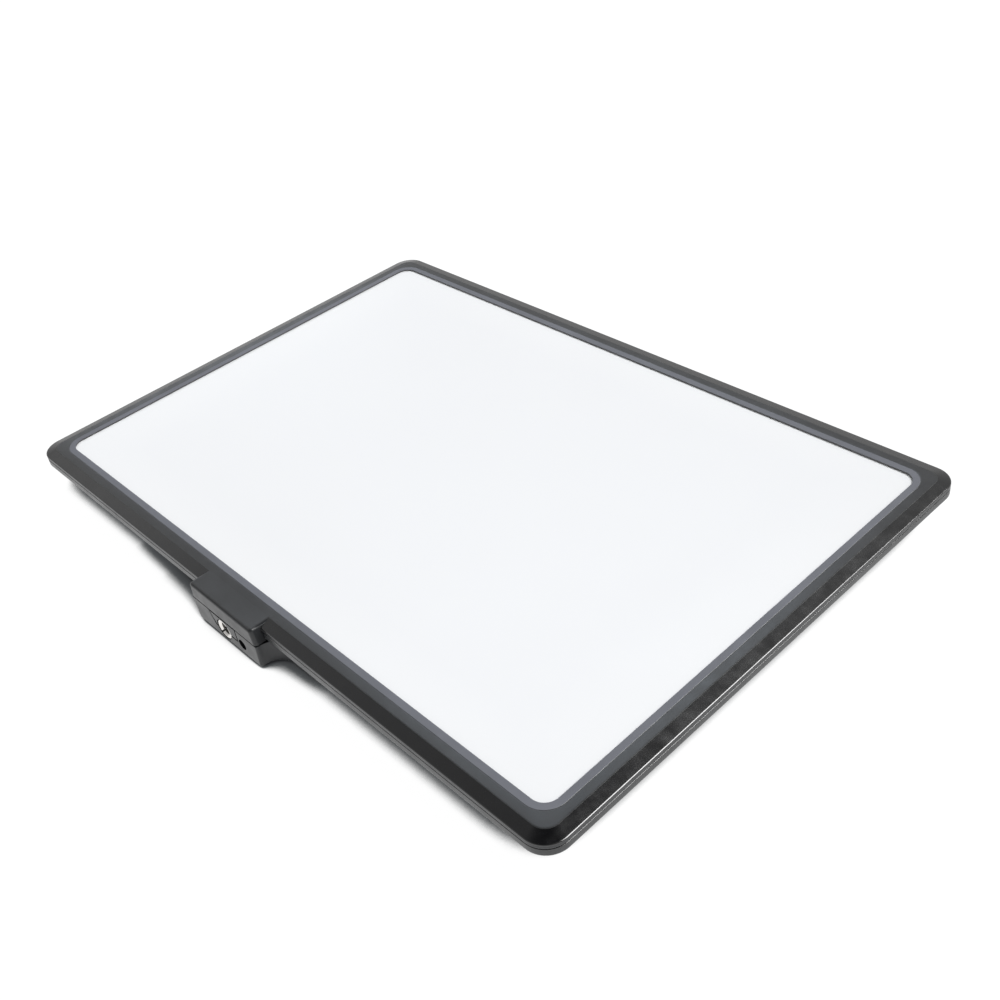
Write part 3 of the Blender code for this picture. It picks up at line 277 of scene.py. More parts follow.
def add_ramp(tree, value, *stops):
    """Colours along a value, from (position, colour) stops."""
    ramp = tree.nodes.new('ShaderNodeValToRGB')
    while len(ramp.color_ramp.elements) < len(stops):
        ramp.color_ramp.elements.new(0.5)
    for element, (position, colour) in zip(ramp.color_ramp.elements, stops):
        element.position = position
        element.color = (*colour, 1.0)
    tree.links.new(value, ramp.inputs["Fac"])
    return ramp.outputs["Color"]


def add_range(tree, value, low, high, start=0.3, end=0.7):
    """A value stretched from the middle of a noise to a low and a high number."""
    stretch = tree.nodes.new('ShaderNodeMapRange')
    for socket, number in (("From Min", start), ("From Max", end), ("To Min", low), ("To Max", high)):
        stretch.inputs[socket].default_value = number
    tree.links.new(value, stretch.inputs["Value"])
    return stretch.outputs["Result"]


def add_bump(tree, shader, height, depth):
    bump = tree.nodes.new('ShaderNodeBump')
    bump.inputs["Strength"].default_value = 1.0
    bump.inputs["Distance"].default_value = depth
    tree.links.new(height, bump.inputs["Height"])
    tree.links.new(bump.outputs["Normal"], shader.inputs["Normal"])


def moulded_plastic(name, deep, pale, roughness, grain, depth, gloss=1.9):
    """Plastic: cloudy colour, uneven gloss, and the grain of its mould."""
    made, tree, shader, place = new_finish(name)
    cloud = add_noise(tree, place, 45.0, 5.0)
    tree.links.new(add_ramp(tree, cloud, (0.35, deep), (0.65, pale)), shader.inputs["Base Color"])
    smears = add_noise(tree, place, 160.0, 4.0)
    dulling = add_range(tree, smears, roughness - 0.05, roughness + 0.05)
    tree.links.new(dulling, shader.inputs["Roughness"])
    add_bump(tree, shader, add_noise(tree, place, 1 / grain, 2.0), depth)
    shader.inputs["IOR"].default_value = gloss
    return made


def give(piece, body, slot, nodes, *finishes):
    """Name what a piece rides on, which solids it stands for, and its finishes."""
    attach(piece, body)
    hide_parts(*nodes)
    for finish in finishes:
        piece.data.materials.append(finish)


polished_black = moulded_plastic(
    "polished_black", (0.002, 0.002, 0.0025), (0.004, 0.004, 0.0045), 0.2, 4 * MM, 0.004 * MM)
# Grained band: its lighter, cool grey base colour is partly painted sheen.
grained_sheen_black = moulded_plastic(
    "grained_sheen_black", (0.096, 0.1, 0.12), (0.118, 0.123, 0.146), 0.55, 0.35 * MM, 0.03 * MM)
satin_black = moulded_plastic(
    "satin_black", (0.009, 0.0095, 0.0105), (0.014, 0.0145, 0.016), 0.34, 0.3 * MM, 0.01 * MM)
dull_black = moulded_plastic(
    "dull_black", (0.008, 0.0088, 0.01), (0.012, 0.0132, 0.015), 0.36, 0.3 * MM, 0.012 * MM, 1.5)
give(front, "panel", "black_plastic", ["front_frame"],
     polished_black, grained_sheen_black, satin_black, dull_black)


# Diffuser: a flat sheet of opal acrylic, cut to size and laid under the lip of the frame.
# It has a fine satin face; its colour is painted a little whiter towards its edges, a painted glow for
# the light of the strip that reaches it there.
def dress(finish, *names):
    """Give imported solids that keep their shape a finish."""
    for name in names:
        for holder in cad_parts[name].material_slots:
            holder.material = finish


def add_edge_distance(tree, place, half_x, half_y):
    """0 in the middle of the light face and 1 at the nearest edge."""
    centred = tree.nodes.new('ShaderNodeMapping')
    centred.inputs["Location"].default_value = (-middle.x / half_x, -middle.y / half_y, 0)
    centred.inputs["Scale"].default_value = (1 / half_x, 1 / half_y, 0)
    tree.links.new(place, centred.inputs["Vector"])
    size = tree.nodes.new('ShaderNodeVectorMath')
    size.operation = 'ABSOLUTE'
    tree.links.new(centred.outputs["Vector"], size.inputs[0])
    parts = tree.nodes.new('ShaderNodeSeparateXYZ')
    tree.links.new(size.outputs["Vector"], parts.inputs[0])
    nearest = tree.nodes.new('ShaderNodeMath')
    nearest.operation = 'MAXIMUM'
    tree.links.new(parts.outputs["X"], nearest.inputs[0])
    tree.links.new(parts.outputs["Y"], nearest.inputs[1])
    return nearest.outputs["Value"]


opal_acrylic, tree, shader, place = new_finish("opal_acrylic")
edge = add_edge_distance(tree, place, opening_half_x, opening_half_y)
# Painted light: the base colour grows a little whiter towards the edges.
opal = add_ramp(tree, edge, (0.0, (0.842, 0.848, 0.862)), (0.8, (0.845, 0.851, 0.864)),
                (1.0, (0.865, 0.87, 0.878)))
tree.links.new(opal, shader.inputs["Base Color"])
haze = add_noise(tree, place, 25.0, 4.0)
tree.links.new(add_range(tree, haze, 0.3, 0.38), shader.inputs["Roughness"])
add_bump(tree, shader, add_noise(tree, place, 2500.0, 2.0), 0.002 * MM)
dress(opal_acrylic, "diffuser_plate")

# Light guide: a sheet of clear acrylic, with rows of printed dots that throw the light upwards.
# It lies loose under the diffuser, with its front edge against the light strip.
clear_acrylic, tree, shader, place = new_finish("clear_acrylic")
dots = tree.nodes.new('ShaderNodeTexVoronoi')
dots.inputs["Scale"].default_value = 600.0
dots.inputs["Randomness"].default_value = 0.0
tree.links.new(place, dots.inputs["Vector"])
dotted = add_ramp(tree, dots.outputs["Distance"], (0.28, (0.9, 0.9, 0.88)), (0.32, (0.7, 0.78, 0.78)))
tree.links.new(dotted, shader.inputs["Base Color"])
matt_dots = add_range(tree, dots.outputs["Distance"], 0.5, 0.06, 0.28, 0.32)
tree.links.new(matt_dots, shader.inputs["Roughness"])
dress(clear_acrylic, "light_guide_plate")

# Reflector: a thin white polyester film that lies between the light guide and the chassis.
# It sends back the light that leaves the guide downwards.
white_film, tree, shader, place = new_finish("white_film")
ripple = add_noise(tree, place, 30.0, 2.0)
film = add_ramp(tree, ripple, (0.3, (0.86, 0.86, 0.84)), (0.7, (0.92, 0.92, 0.9)))
tree.links.new(film, shader.inputs["Base Color"])
tree.links.new(add_range(tree, ripple, 0.42, 0.55), shader.inputs["Roughness"])
dress(white_film, "reflector_sheet")

# Chassis: a folded aluminium sheet that stiffens the panel and takes the heat of the light strip.
# Its surface is left as rolled, with fine lines along its length.
def add_rolled_lines(tree, place, lengthwise, crosswise):
    """Noise drawn out along X, as the rolls leave it on a sheet or a lathe on a turned piece."""
    drawn = tree.nodes.new('ShaderNodeMapping')
    drawn.inputs["Scale"].default_value = (lengthwise, crosswise, crosswise)
    tree.links.new(place, drawn.inputs["Vector"])
    return add_noise(tree, drawn.outputs["Vector"], 1.0, 4.0)


def bare_metal(name, dull, bright, roughness, lengthwise, crosswise):
    """Metal with a fine pull in its surface and uneven gloss."""
    made, tree, shader, place = new_finish(name)
    lines = add_rolled_lines(tree, place, lengthwise, crosswise)
    tree.links.new(add_ramp(tree, lines, (0.3, dull), (0.7, bright)), shader.inputs["Base Color"])
    dulling = add_range(tree, lines, roughness - 0.06, roughness + 0.06)
    tree.links.new(dulling, shader.inputs["Roughness"])
    add_bump(tree, shader, lines, 0.003 * MM)
    shader.inputs["Metallic"].default_value = 1.0
    return made


rolled_aluminium = bare_metal(
    "rolled_aluminium", (0.62, 0.63, 0.64), (0.76, 0.77, 0.78), 0.38, 20.0, 2500.0)
dress(rolled_aluminium, "chassis_plate")

# Light strip: a narrow white circuit board on edge, glued to the front flange of the chassis.
# The packages that face the light guide are filled with yellow phosphor.
PACKAGE_FACE = 0.5 * MM
strip_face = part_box("led_strip")[1].y
white_circuit_board, tree, shader, place = new_finish("white_circuit_board")
parts = tree.nodes.new('ShaderNodeSeparateXYZ')
tree.links.new(place, parts.inputs[0])
facing = add_range(tree, parts.outputs["Y"], 0.0, 1.0, strip_face - PACKAGE_FACE, strip_face)
mask = add_ramp(tree, facing, (0.4, (0.84, 0.85, 0.82)), (0.6, (0.85, 0.62, 0.12)))
tree.links.new(mask, shader.inputs["Base Color"])
tree.links.new(add_range(tree, add_noise(tree, place, 400.0), 0.35, 0.55), shader.inputs["Roughness"])
dress(white_circuit_board, "led_strip")

# Rear cover: a shallow tray of black plastic that closes the panel from behind.
# Its tongue enters the frame, and eight screws along the short sides hold it.
COVER_PROFILE = [
    (8.40, 6.90, 9.00, POLISHED),
    (8.80, 6.80, 9.20, POLISHED),
    (9.00, 6.50, 9.40, POLISHED),
    (9.00, 2.60, 9.40, POLISHED),
    (10.30, 2.61, 8.40, POLISHED),
    (10.30, 3.80, 8.40, POLISHED),
    (12.15, 3.81, 10.25, POLISHED),
    (12.33, 3.91, 10.43, POLISHED),
    (12.40, 4.07, 10.50, SATIN),
    (12.40, 6.60, 10.50, SATIN),
    (12.33, 6.95, 10.43, SATIN),
    (12.10, 7.16, 10.20, GRAINED),
    (8.30, 8.40, 8.80, GRAINED),
    (7.90, 8.50, 8.40, GRAINED),
]
GAP = 0.3 * MM
NOTCH_ROOT = 6.3 * MM
WINDOW_HALF_X = 40 * MM
WINDOW_HALF_Y = 52 * MM
WINDOW_FORWARD = 46 * MM
WINDOW_CUT = 3 * MM
SCREW_PASSAGE = 1.5 * MM
PASSAGE_LENGTH = 6 * MM
HEAD_RECESS = 2.6 * MM
RECESS_LENGTH = 1.6 * MM
cover_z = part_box("rear_cover")[0].z
COVER_SCREWS = [f"cover_screw_{number}" for number in range(1, 9)]
HOUSING_SCREWS = [f"housing_screw_{number}" for number in range(1, 5)]


def centre_of(name):
    low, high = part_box(name)
    return (low + high) / 2


def add_rod(spot, axis, radius, length, sides=32):
    """A round bar about a middle point, in the open mesh, left selected."""
    turns = {'X': (0, math.pi / 2, 0), 'Y': (math.pi / 2, 0, 0), 'Z': (0, 0, 0)}
    bpy.ops.mesh.primitive_cylinder_add(
        vertices=sides, radius=radius, depth=length, location=spot, rotation=turns[axis])


cover = start_piece("rear_tray")
stack_rings(cover, COVER_PROFILE, closed=False)
close_piece(cover)
notch = start_piece("cover_notch")
notch_half = NECK_HALF + GAP
notch_back = middle.y - opening_half_y - NOTCH_ROOT
add_box((block_x - notch_half, block_front, cover_z - MM), (block_x + notch_half, notch_back, lip_z))
close_piece(notch)
combine(cover, notch, 'DIFFERENCE')
window_y = middle.y - WINDOW_FORWARD
holes = start_piece("cover_holes")
add_box((block_x - WINDOW_HALF_X, window_y - WINDOW_HALF_Y, cover_z - MM),
        (block_x + WINDOW_HALF_X, window_y + WINDOW_HALF_Y, cover_z + WINDOW_CUT))
for name in HOUSING_SCREWS:
    spot = centre_of(name)
    add_rod((spot.x, spot.y, cover_z), 'Z', SCREW_PASSAGE, PASSAGE_LENGTH)
for name in COVER_SCREWS:
    spot = centre_of(name)
    add_rod((spot.x, spot.y, cover_z), 'Z', HEAD_RECESS, RECESS_LENGTH)
close_piece(holes)
combine(cover, holes, 'DIFFERENCE')
soften(cover, 0.12 * MM)
rear_grained = moulded_plastic(
    "rear_grained", (0.03, 0.031, 0.034), (0.04, 0.041, 0.044), 0.48, 0.5 * MM, 0.03 * MM)
rear_edge = moulded_plastic(
    "rear_edge", (0.016, 0.017, 0.018), (0.024, 0.0255, 0.027), 0.32, 0.4 * MM, 0.01 * MM, 1.5)
give(cover, "panel", "black_plastic", ["rear_cover"], polished_black, rear_grained, rear_edge)

# Control housing: a deep tub of black plastic, screwed on under the rear cover.
# Its neck runs out to be the lower half of the block, with fillets at its root and tapered flanks.
# It has posts for its screws and board, vents, and openings for the controls.
POD_DEPTH = 165 * MM
POD_CORNER = 8 * MM
POD_WALL = 2 * MM
NECK_FILLET = 8.6 * MM
NECK_TAPER = 0.08
NECK_CORNER = 1.1 * MM
FOOT_EDGE = 0.9 * MM
NOSE_WALL = 7 * MM
NECK_SPAN = 30 * MM
SCREW_POST = 4.4 * MM
BOARD_POST = 3 * MM
VENT_PITCH = 7 * MM
VENT_LENGTH = 22 * MM
VENT_WIDTH = 2.4 * MM
VENT_FROM_BACK = 40 * MM
pod_front = housing_high.y - POD_DEPTH
pod_height = housing_high.z - housing_low.z
pod_floor = housing_low.z + POD_WALL
BOARD_SCREWS = [f"board_screw_{number}" for number in range(1, 5)]
FEET = [f"foot_{number}" for number in range(1, 5)]

housing = start_piece("control_tub")
pod_spot = (block_x, (pod_front + housing_high.y) / 2, housing_high.z)
bpy.ops.mesh.primitive_plane_add(size=1, location=pod_spot)
bpy.ops.transform.resize(value=(housing_high.x - housing_low.x, POD_DEPTH, 1), center_override=pod_spot)
choose(housing, 'EDGE', lambda edge: middle_of(edge).y < pod_front + MM)
bpy.ops.mesh.subdivide(number_cuts=2)
choose(housing, 'VERT', lambda vert: vert.co.y < pod_front + MM and abs(vert.co.x - block_x) < NECK_SPAN)
half_third = (housing_high.x - housing_low.x) / 6
bpy.ops.transform.resize(value=(NECK_HALF / half_third, 1, 1), center_override=(block_x, pod_front, 0))
bpy.ops.mesh.extrude_edges_move(TRANSFORM_OT_translate={"value": (0, block_front - pod_front, 0)})
choose(housing, 'EDGE', lambda edge: len(edge.link_faces) == 2)
bpy.ops.mesh.dissolve_edges(use_verts=False)
bpy.ops.mesh.select_all(action='SELECT')
bpy.ops.mesh.extrude_region_move(TRANSFORM_OT_translate={"value": (0, 0, -pod_height)})
bpy.ops.mesh.select_all(action='SELECT')
bpy.ops.mesh.normals_make_consistent(inside=False)
choose(housing, 'VERT', lambda vert: vert.co.z < pod_floor and abs(vert.co.x - block_x) < NECK_SPAN)
narrow = 1 - NECK_TAPER * pod_height / NECK_HALF
bpy.ops.transform.resize(value=(narrow, 1, 1), center_override=(block_x, pod_front, 0))
choose(housing, 'EDGE', lambda edge: upright(edge) and abs(middle_of(edge).x - block_x) > NECK_SPAN)
bpy.ops.mesh.bevel(offset=POD_CORNER, segments=12)
choose(housing, 'EDGE', lambda edge: upright(edge) and abs(middle_of(edge).x - block_x) < NECK_SPAN
       and abs(middle_of(edge).y - pod_front) < MM)
bpy.ops.mesh.bevel(offset=NECK_FILLET, segments=12)
choose(housing, 'EDGE', lambda edge: upright(edge) and middle_of(edge).y < block_front + MM)
bpy.ops.mesh.bevel(offset=NECK_CORNER, segments=8)


def lies_at(axis, place):
    """A test for edges whose two ends are at a place along an axis."""
    index = 'XYZ'.index(axis)
    return lambda edge: all(abs(vert.co[index] - place) < MM / 10 for vert in edge.verts)


choose(housing, 'EDGE', lies_at('Z', housing_low.z))
bpy.ops.mesh.bevel(offset=FOOT_EDGE, segments=5)
close_piece(housing)

hollow = start_piece("housing_hollow")
add_box((housing_low.x + POD_WALL, pod_front + POD_WALL, pod_floor),
        (housing_high.x - POD_WALL, housing_high.y - POD_WALL, housing_high.z + MM))
choose(hollow, 'EDGE', upright)
bpy.ops.mesh.bevel(offset=POD_CORNER - POD_WALL, segments=12)
close_piece(hollow)
combine(housing, hollow, 'DIFFERENCE')
passage = start_piece("neck_hollow")
neck_inside = NECK_HALF * narrow - POD_WALL
add_box((block_x - neck_inside, block_front + NOSE_WALL, pod_floor),
        (block_x + neck_inside, pod_front + 2 * POD_WALL, housing_high.z + MM))
close_piece(passage)
combine(housing, passage, 'DIFFERENCE')

posts = start_piece("housing_posts")
for name in HOUSING_SCREWS:
    spot = centre_of(name)
    add_rod((spot.x, spot.y, (pod_floor - MM + housing_high.z - GAP) / 2), 'Z', SCREW_POST,
            housing_high.z - GAP - pod_floor + MM)
board_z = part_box("driver_board")[0].z
for name in BOARD_SCREWS:
    spot = centre_of(name)
    add_rod((spot.x, spot.y, (pod_floor - MM + board_z - GAP) / 2), 'Z', BOARD_POST,
            board_z - GAP - pod_floor + MM)
close_piece(posts)
combine(housing, posts, 'UNION')

bush_spot = centre_of("threaded_bush")
BUSH_RADIUS = 4.75 * MM
BUSH_BORE = 3.175 * MM
BUSH_SEAT_MIDDLE = 6 * MM
BUSH_SEAT_LENGTH = 15 * MM
PIN_HOLE_RADIUS = 2.6 * MM
PIN_HOLE_MIDDLE = 2.5 * MM
PIN_HOLE_LENGTH = 7 * MM
PIN_HOLE_APART = 14 * MM
SLANT = 3.1 * MM
CARRIER_SEAM = 0.8 * MM
CARRIER_LEFT = 9 * MM
CARRIER_RIGHT = 10 * MM


def add_carrier_outline(spread, front, back, top):
    """The bush carrier's block: an upright right flank and a left one that leans out at its top."""
    low_x = bush_spot.x - CARRIER_LEFT - spread
    add_box((low_x, front, bush_spot.z - spread), (bush_spot.x + CARRIER_RIGHT + spread, back, top))
    choose(bpy.context.object, 'VERT', lambda vert: vert.co.x < low_x + MM
           and vert.co.z < bush_spot.z + MM)
    bpy.ops.transform.translate(value=(SLANT, 0, 0))


cradle = start_piece("housing_cradle")
add_carrier_outline(CARRIER_SEAM, block_front - MM, block_front + NOSE_WALL + MM, housing_high.z + GAP)
close_piece(cradle)
combine(housing, cradle, 'DIFFERENCE')

SCREW_WELL = 2.9 * MM
SCREW_WELL_TOP = 9.7 * MM
FOOT_RECESS = 5.3 * MM
FOOT_RECESS_DEPTH = 0.5 * MM
DIMMER_HOLE = 3.3 * MM
SOCKET_HOLE = 4.3 * MM
CONTROL_CUT = 6 * MM
SWITCH_CUT_HALF_Y = 6.9 * MM
SWITCH_CUT_HALF_Z = 4.3 * MM
DIMMER = centre_of("potentiometer_shaft")
SWITCH = centre_of("switch_housing")
SOCKET = centre_of("socket_pin")
control_z = DIMMER.z
left_wall = housing_low.x
right_wall = housing_high.x


def add_wall_box(spot, low_x, high_x, half_y, half_z):
    """A box across a side wall, about the middle of a control."""
    add_box((low_x, spot.y - half_y, control_z - half_z),
            (high_x, spot.y + half_y, control_z + half_z))


def add_bush_seat():
    """The round passage for the bush, through the nose of the housing and the carrier."""
    spot = (bush_spot.x, block_front + BUSH_SEAT_MIDDLE, bush_spot.z)
    add_rod(spot, 'Y', BUSH_RADIUS + GAP, BUSH_SEAT_LENGTH, 64)


cuts = start_piece("housing_openings")
add_bush_seat()
pin_hole_spot = (bush_spot.x + PIN_HOLE_APART, block_front + PIN_HOLE_MIDDLE, bush_spot.z)
add_rod(pin_hole_spot, 'Y', PIN_HOLE_RADIUS, PIN_HOLE_LENGTH, 48)
for name in HOUSING_SCREWS:
    spot = centre_of(name)
    add_rod((spot.x, spot.y, SCREW_WELL_TOP / 2), 'Z', SCREW_WELL, SCREW_WELL_TOP)
for name in FEET:
    spot = centre_of(name)
    recess_top = housing_low.z + FOOT_RECESS_DEPTH
    add_rod((spot.x, spot.y, recess_top / 2), 'Z', FOOT_RECESS, recess_top, 48)
add_rod((right_wall - MM, DIMMER.y, control_z), 'X', DIMMER_HOLE, CONTROL_CUT)
add_rod((left_wall + MM, SOCKET.y, control_z), 'X', SOCKET_HOLE, CONTROL_CUT, 48)
add_wall_box(SWITCH, left_wall - POD_WALL, left_wall + 2 * POD_WALL, SWITCH_CUT_HALF_Y, SWITCH_CUT_HALF_Z)
close_piece(cuts)
combine(housing, cuts, 'DIFFERENCE')

vents = start_piece("housing_vents")
vent_y = housing_high.y - VENT_FROM_BACK
for number in range(-3, 4):
    vent_x = block_x + number * VENT_PITCH
    add_box((vent_x - VENT_WIDTH / 2, vent_y - VENT_LENGTH / 2, 0),
            (vent_x + VENT_WIDTH / 2, vent_y + VENT_LENGTH / 2, pod_floor + MM))
choose(vents, 'EDGE', upright)
bpy.ops.mesh.bevel(offset=VENT_WIDTH * 0.49, segments=6)
close_piece(vents)
combine(housing, vents, 'DIFFERENCE')
soften(housing, 0.2 * MM)
give(housing, "panel", "black_plastic", ["control_housing"], dull_black)

# Bush carrier: a small black moulding that drops over the bush from above and clamps it in the nose.
# A flange behind the nose wall keeps it from being pulled out; its fine seams show on the block's front.
FLANGE_HALF = 11 * MM
FLANGE_THICKNESS = 3 * MM
carrier_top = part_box("bush_carrier")[1].z
carrier = start_piece("bush_clamp")
nose_end = block_front + NOSE_WALL + GAP
add_carrier_outline(0, block_front, nose_end + MM, carrier_top)
close_piece(carrier)
flange = start_piece("clamp_flange")
add_box((bush_spot.x - FLANGE_HALF, nose_end, pod_floor + GAP),
        (bush_spot.x + FLANGE_HALF, nose_end + FLANGE_THICKNESS, carrier_top))
close_piece(flange)
combine(carrier, flange, 'UNION')
seat = start_piece("clamp_seat")
add_bush_seat()
close_piece(seat)
combine(carrier, seat, 'DIFFERENCE')
soften(carrier, 0.2 * MM)
give(carrier, "panel", "black_plastic", ["bush_carrier"], dull_black)

# Threaded bush: a turned, nickel-plated brass sleeve, 3/8 inch outside, with a 1/4 inch thread inside.
# Its rim is rounded, its mouth chamfered, and a screwdriver slot crosses its face; the thread behind its
# mouth is dark metal, a painted shade for the shade deep in the bore.
BUSH_ROUNDING = 0.3 * MM
MOUTH_WIDTH = 0.7 * MM
MOUTH_DEPTH = 0.8 * MM
THREAD_STEP = 0.635 * MM
THREAD_DEPTH = 0.55 * MM
SLOT_WIDTH = 0.8 * MM
SLOT_DEPTH = 1.2 * MM
SLOT_HALF_LENGTH = 6 * MM
SLOT_TURN = math.radians(-45)
bush_low, bush_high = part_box("threaded_bush")
bush_length = bush_high.y - bush_low.y
bush = start_piece("slotted_bush")
add_rod(bush_spot, 'Y', BUSH_RADIUS, bush_length, 64)
choose(bush, 'EDGE', lies_at('Y', bush_low.y))
bpy.ops.mesh.bevel(offset=BUSH_ROUNDING, segments=4)
choose(bush, 'FACE', faces_along('Y', -1))
bpy.ops.mesh.inset(thickness=BUSH_RADIUS - BUSH_ROUNDING - BUSH_BORE - MOUTH_WIDTH)
radius = BUSH_BORE + MOUTH_WIDTH
depth = 0.0
steps = [(MOUTH_DEPTH, BUSH_BORE)]
while depth < bush_length - 2 * THREAD_STEP:
    depth += THREAD_STEP
    steps.append((THREAD_STEP, BUSH_BORE - (THREAD_DEPTH if len(steps) % 2 else 0)))
for step, next_radius in steps:
    bpy.ops.mesh.extrude_region_move(TRANSFORM_OT_translate={"value": (0, step, 0)})
    shrink = next_radius / radius
    bpy.ops.transform.resize(value=(shrink, 1, shrink), center_override=bush_spot)
    radius = next_radius
close_piece(bush)
slot = start_piece("bush_slot")
add_box((-SLOT_HALF_LENGTH, -MM, -SLOT_WIDTH / 2), (SLOT_HALF_LENGTH, SLOT_DEPTH, SLOT_WIDTH / 2))
close_piece(slot)
to_bush_face = Matrix.Translation((bush_spot.x, bush_low.y, bush_spot.z))
slot.data.transform(to_bush_face @ Matrix.Rotation(SLOT_TURN, 4, 'Y'))
combine(bush, slot, 'DIFFERENCE')
# The thread's faces behind the mouth take dark metal: painted shade for the shade inside the bore.
for face in bush.data.polygons:
    off_axis = math.hypot(face.center.x - bush_spot.x, face.center.z - bush_spot.z)
    behind_mouth = face.center.y > bush_low.y + 0.9 * MOUTH_DEPTH
    face.material_index = 1 if behind_mouth and off_axis < BUSH_BORE else 0
soften(bush, 0.06 * MM)
nickel_plate = bare_metal("nickel_plate", (0.74, 0.72, 0.69), (0.86, 0.84, 0.81), 0.2, 900.0, 900.0)
bore_shade_paint = bare_metal("bore_shade_paint", (0.05, 0.047, 0.043), (0.09, 0.085, 0.078), 0.4, 900.0, 900.0)
give(bush, "panel", "nickel", ["threaded_bush"], nickel_plate, bore_shade_paint)

# Driver board and its leads: a green circuit board on four posts in the housing, with the parts
# that feed the light strip. Leads run to it from the dimmer, the switch and the inlet.
circuit_board, tree, shader, place = new_finish("circuit_board")
tracks = tree.nodes.new('ShaderNodeTexBrick')
tracks.inputs["Scale"].default_value = 120.0
tracks.inputs["Mortar Size"].default_value = 0.03
tracks.inputs["Color1"].default_value = (0.012, 0.11, 0.045, 1)
tracks.inputs["Color2"].default_value = (0.018, 0.15, 0.065, 1)
tracks.inputs["Mortar"].default_value = (0.05, 0.24, 0.12, 1)
tree.links.new(place, tracks.inputs["Vector"])
tree.links.new(tracks.outputs["Color"], shader.inputs["Base Color"])
tree.links.new(add_range(tree, add_noise(tree, place, 300.0), 0.3, 0.5), shader.inputs["Roughness"])
dress(circuit_board, "driver_board")
can_aluminium = bare_metal("can_aluminium", (0.6, 0.61, 0.62), (0.75, 0.76, 0.77), 0.3, 1500.0, 60.0)
dress(can_aluminium, "input_capacitor")
component_case = moulded_plastic(
    "component_case", (0.045, 0.045, 0.048), (0.06, 0.06, 0.064), 0.5, 0.4 * MM, 0.01 * MM, 1.5)
dress(component_case, "power_inductor", "potentiometer")
connector_nylon = moulded_plastic(
    "connector_nylon", (0.76, 0.75, 0.7), (0.84, 0.83, 0.79), 0.45, 0.5 * MM, 0.006 * MM, 1.5)
dress(connector_nylon, "led_connector")
lead_skin = moulded_plastic(
    "lead_skin", (0.42, 0.02, 0.02), (0.55, 0.035, 0.03), 0.45, 0.6 * MM, 0.008 * MM, 1.5)
dress(lead_skin, "led_lead", "dimmer_lead", "switch_lead", "socket_lead")

# Dimmer: a potentiometer behind the right wall, held by a plated nut.
# Its shaft carries a fluted knob of black plastic with a white pointer line.
KNOB_RADIUS = 4.7 * MM
KNOB_LINES = 64
KNOB_EDGE = 0.7 * MM
KNOB_BORE = 2.3 * MM
KNOB_BORE_DEPTH = 6.3 * MM
FACE_RIM = 0.5 * MM
FACE_STEP = 0.25 * MM
FACE_DEPTH = 0.2 * MM
POINTER_DEPTH = 0.4 * MM
POINTER_HALF_WIDTH = 0.4 * MM
POINTER_START = 1.2 * MM
POINTER_END = 5.5 * MM
FLUTE_SHRINK = 0.93
FLUTE_INSIDE = 3.75 * MM
knob_low, knob_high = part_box("dimmer_knob")
knob_mid = Vector(((knob_low.x + knob_high.x) / 2, DIMMER.y, DIMMER.z))
knob = start_piece("fluted_knob")
add_rod(knob_mid, 'X', KNOB_RADIUS, knob_high.x - knob_low.x, KNOB_LINES)
choose(knob, 'EDGE', lies_at('X', knob_high.x))
bpy.ops.mesh.bevel(offset=KNOB_EDGE, segments=4)
choose(knob, 'FACE', faces_along('X', 1))
bpy.ops.mesh.inset(thickness=FACE_RIM)
bpy.ops.mesh.inset(thickness=FACE_STEP, depth=-FACE_DEPTH)
choose(knob, 'FACE', faces_along('X', -1))
bpy.ops.mesh.inset(thickness=KNOB_RADIUS - KNOB_BORE)
bpy.ops.mesh.extrude_region_move(TRANSFORM_OT_translate={"value": (KNOB_BORE_DEPTH, 0, 0)})


def in_flute(vert):
    """True for half of the lines along the outside of the knob, in pairs."""
    offset = vert.co - knob_mid
    turn = math.atan2(offset.z, offset.y) / (2 * math.pi) * KNOB_LINES
    return round(turn) % 4 < 2 and math.hypot(offset.y, offset.z) > FLUTE_INSIDE


choose(knob, 'VERT', in_flute)
bpy.ops.transform.resize(value=(1, FLUTE_SHRINK, FLUTE_SHRINK), center_override=knob_mid)
close_piece(knob)
pointer = start_piece("knob_pointer")
add_box((knob_high.x - POINTER_DEPTH, DIMMER.y - POINTER_HALF_WIDTH, DIMMER.z + POINTER_START),
        (knob_high.x + MM, DIMMER.y + POINTER_HALF_WIDTH, DIMMER.z + POINTER_END))
close_piece(pointer)
combine(knob, pointer, 'DIFFERENCE')
for face in knob.data.polygons:
    in_groove = abs(face.center.x - knob_high.x + POINTER_DEPTH) < MM / 10
    face.material_index = 1 if in_groove and face.normal.x > 0.9 else 0
soften(knob, 0.05 * MM)
pointer_paint = moulded_plastic(
    "pointer_paint", (0.7, 0.7, 0.68), (0.78, 0.78, 0.76), 0.5, 0.3 * MM, 0.01 * MM, 1.5)
give(knob, "dimmer", "black_plastic", ["dimmer_knob"], satin_black, pointer_paint)

NUT_RADIUS = 4.6 * MM
NUT_EDGE = 0.3 * MM
NUT_THREAD = 3.3 * MM
THREAD_CUT = 5 * MM
nut_low, nut_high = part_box("potentiometer_nut")
nut_mid_x = (nut_low.x + nut_high.x) / 2
nut = start_piece("hexagon_nut")
add_rod((nut_mid_x, DIMMER.y, DIMMER.z), 'X', NUT_RADIUS, nut_high.x - nut_low.x, 6)
choose(nut, 'EDGE', lies_at('X', nut_high.x))
bpy.ops.mesh.bevel(offset=NUT_EDGE, segments=2)
close_piece(nut)
thread = start_piece("nut_thread")
add_rod((nut_low.x, DIMMER.y, DIMMER.z), 'X', NUT_THREAD, THREAD_CUT)
close_piece(thread)
combine(nut, thread, 'DIFFERENCE')
soften(nut, 0.1 * MM)
give(nut, "panel", "nickel", ["potentiometer_nut"], nickel_plate)
dress(nickel_plate, "potentiometer_shaft")

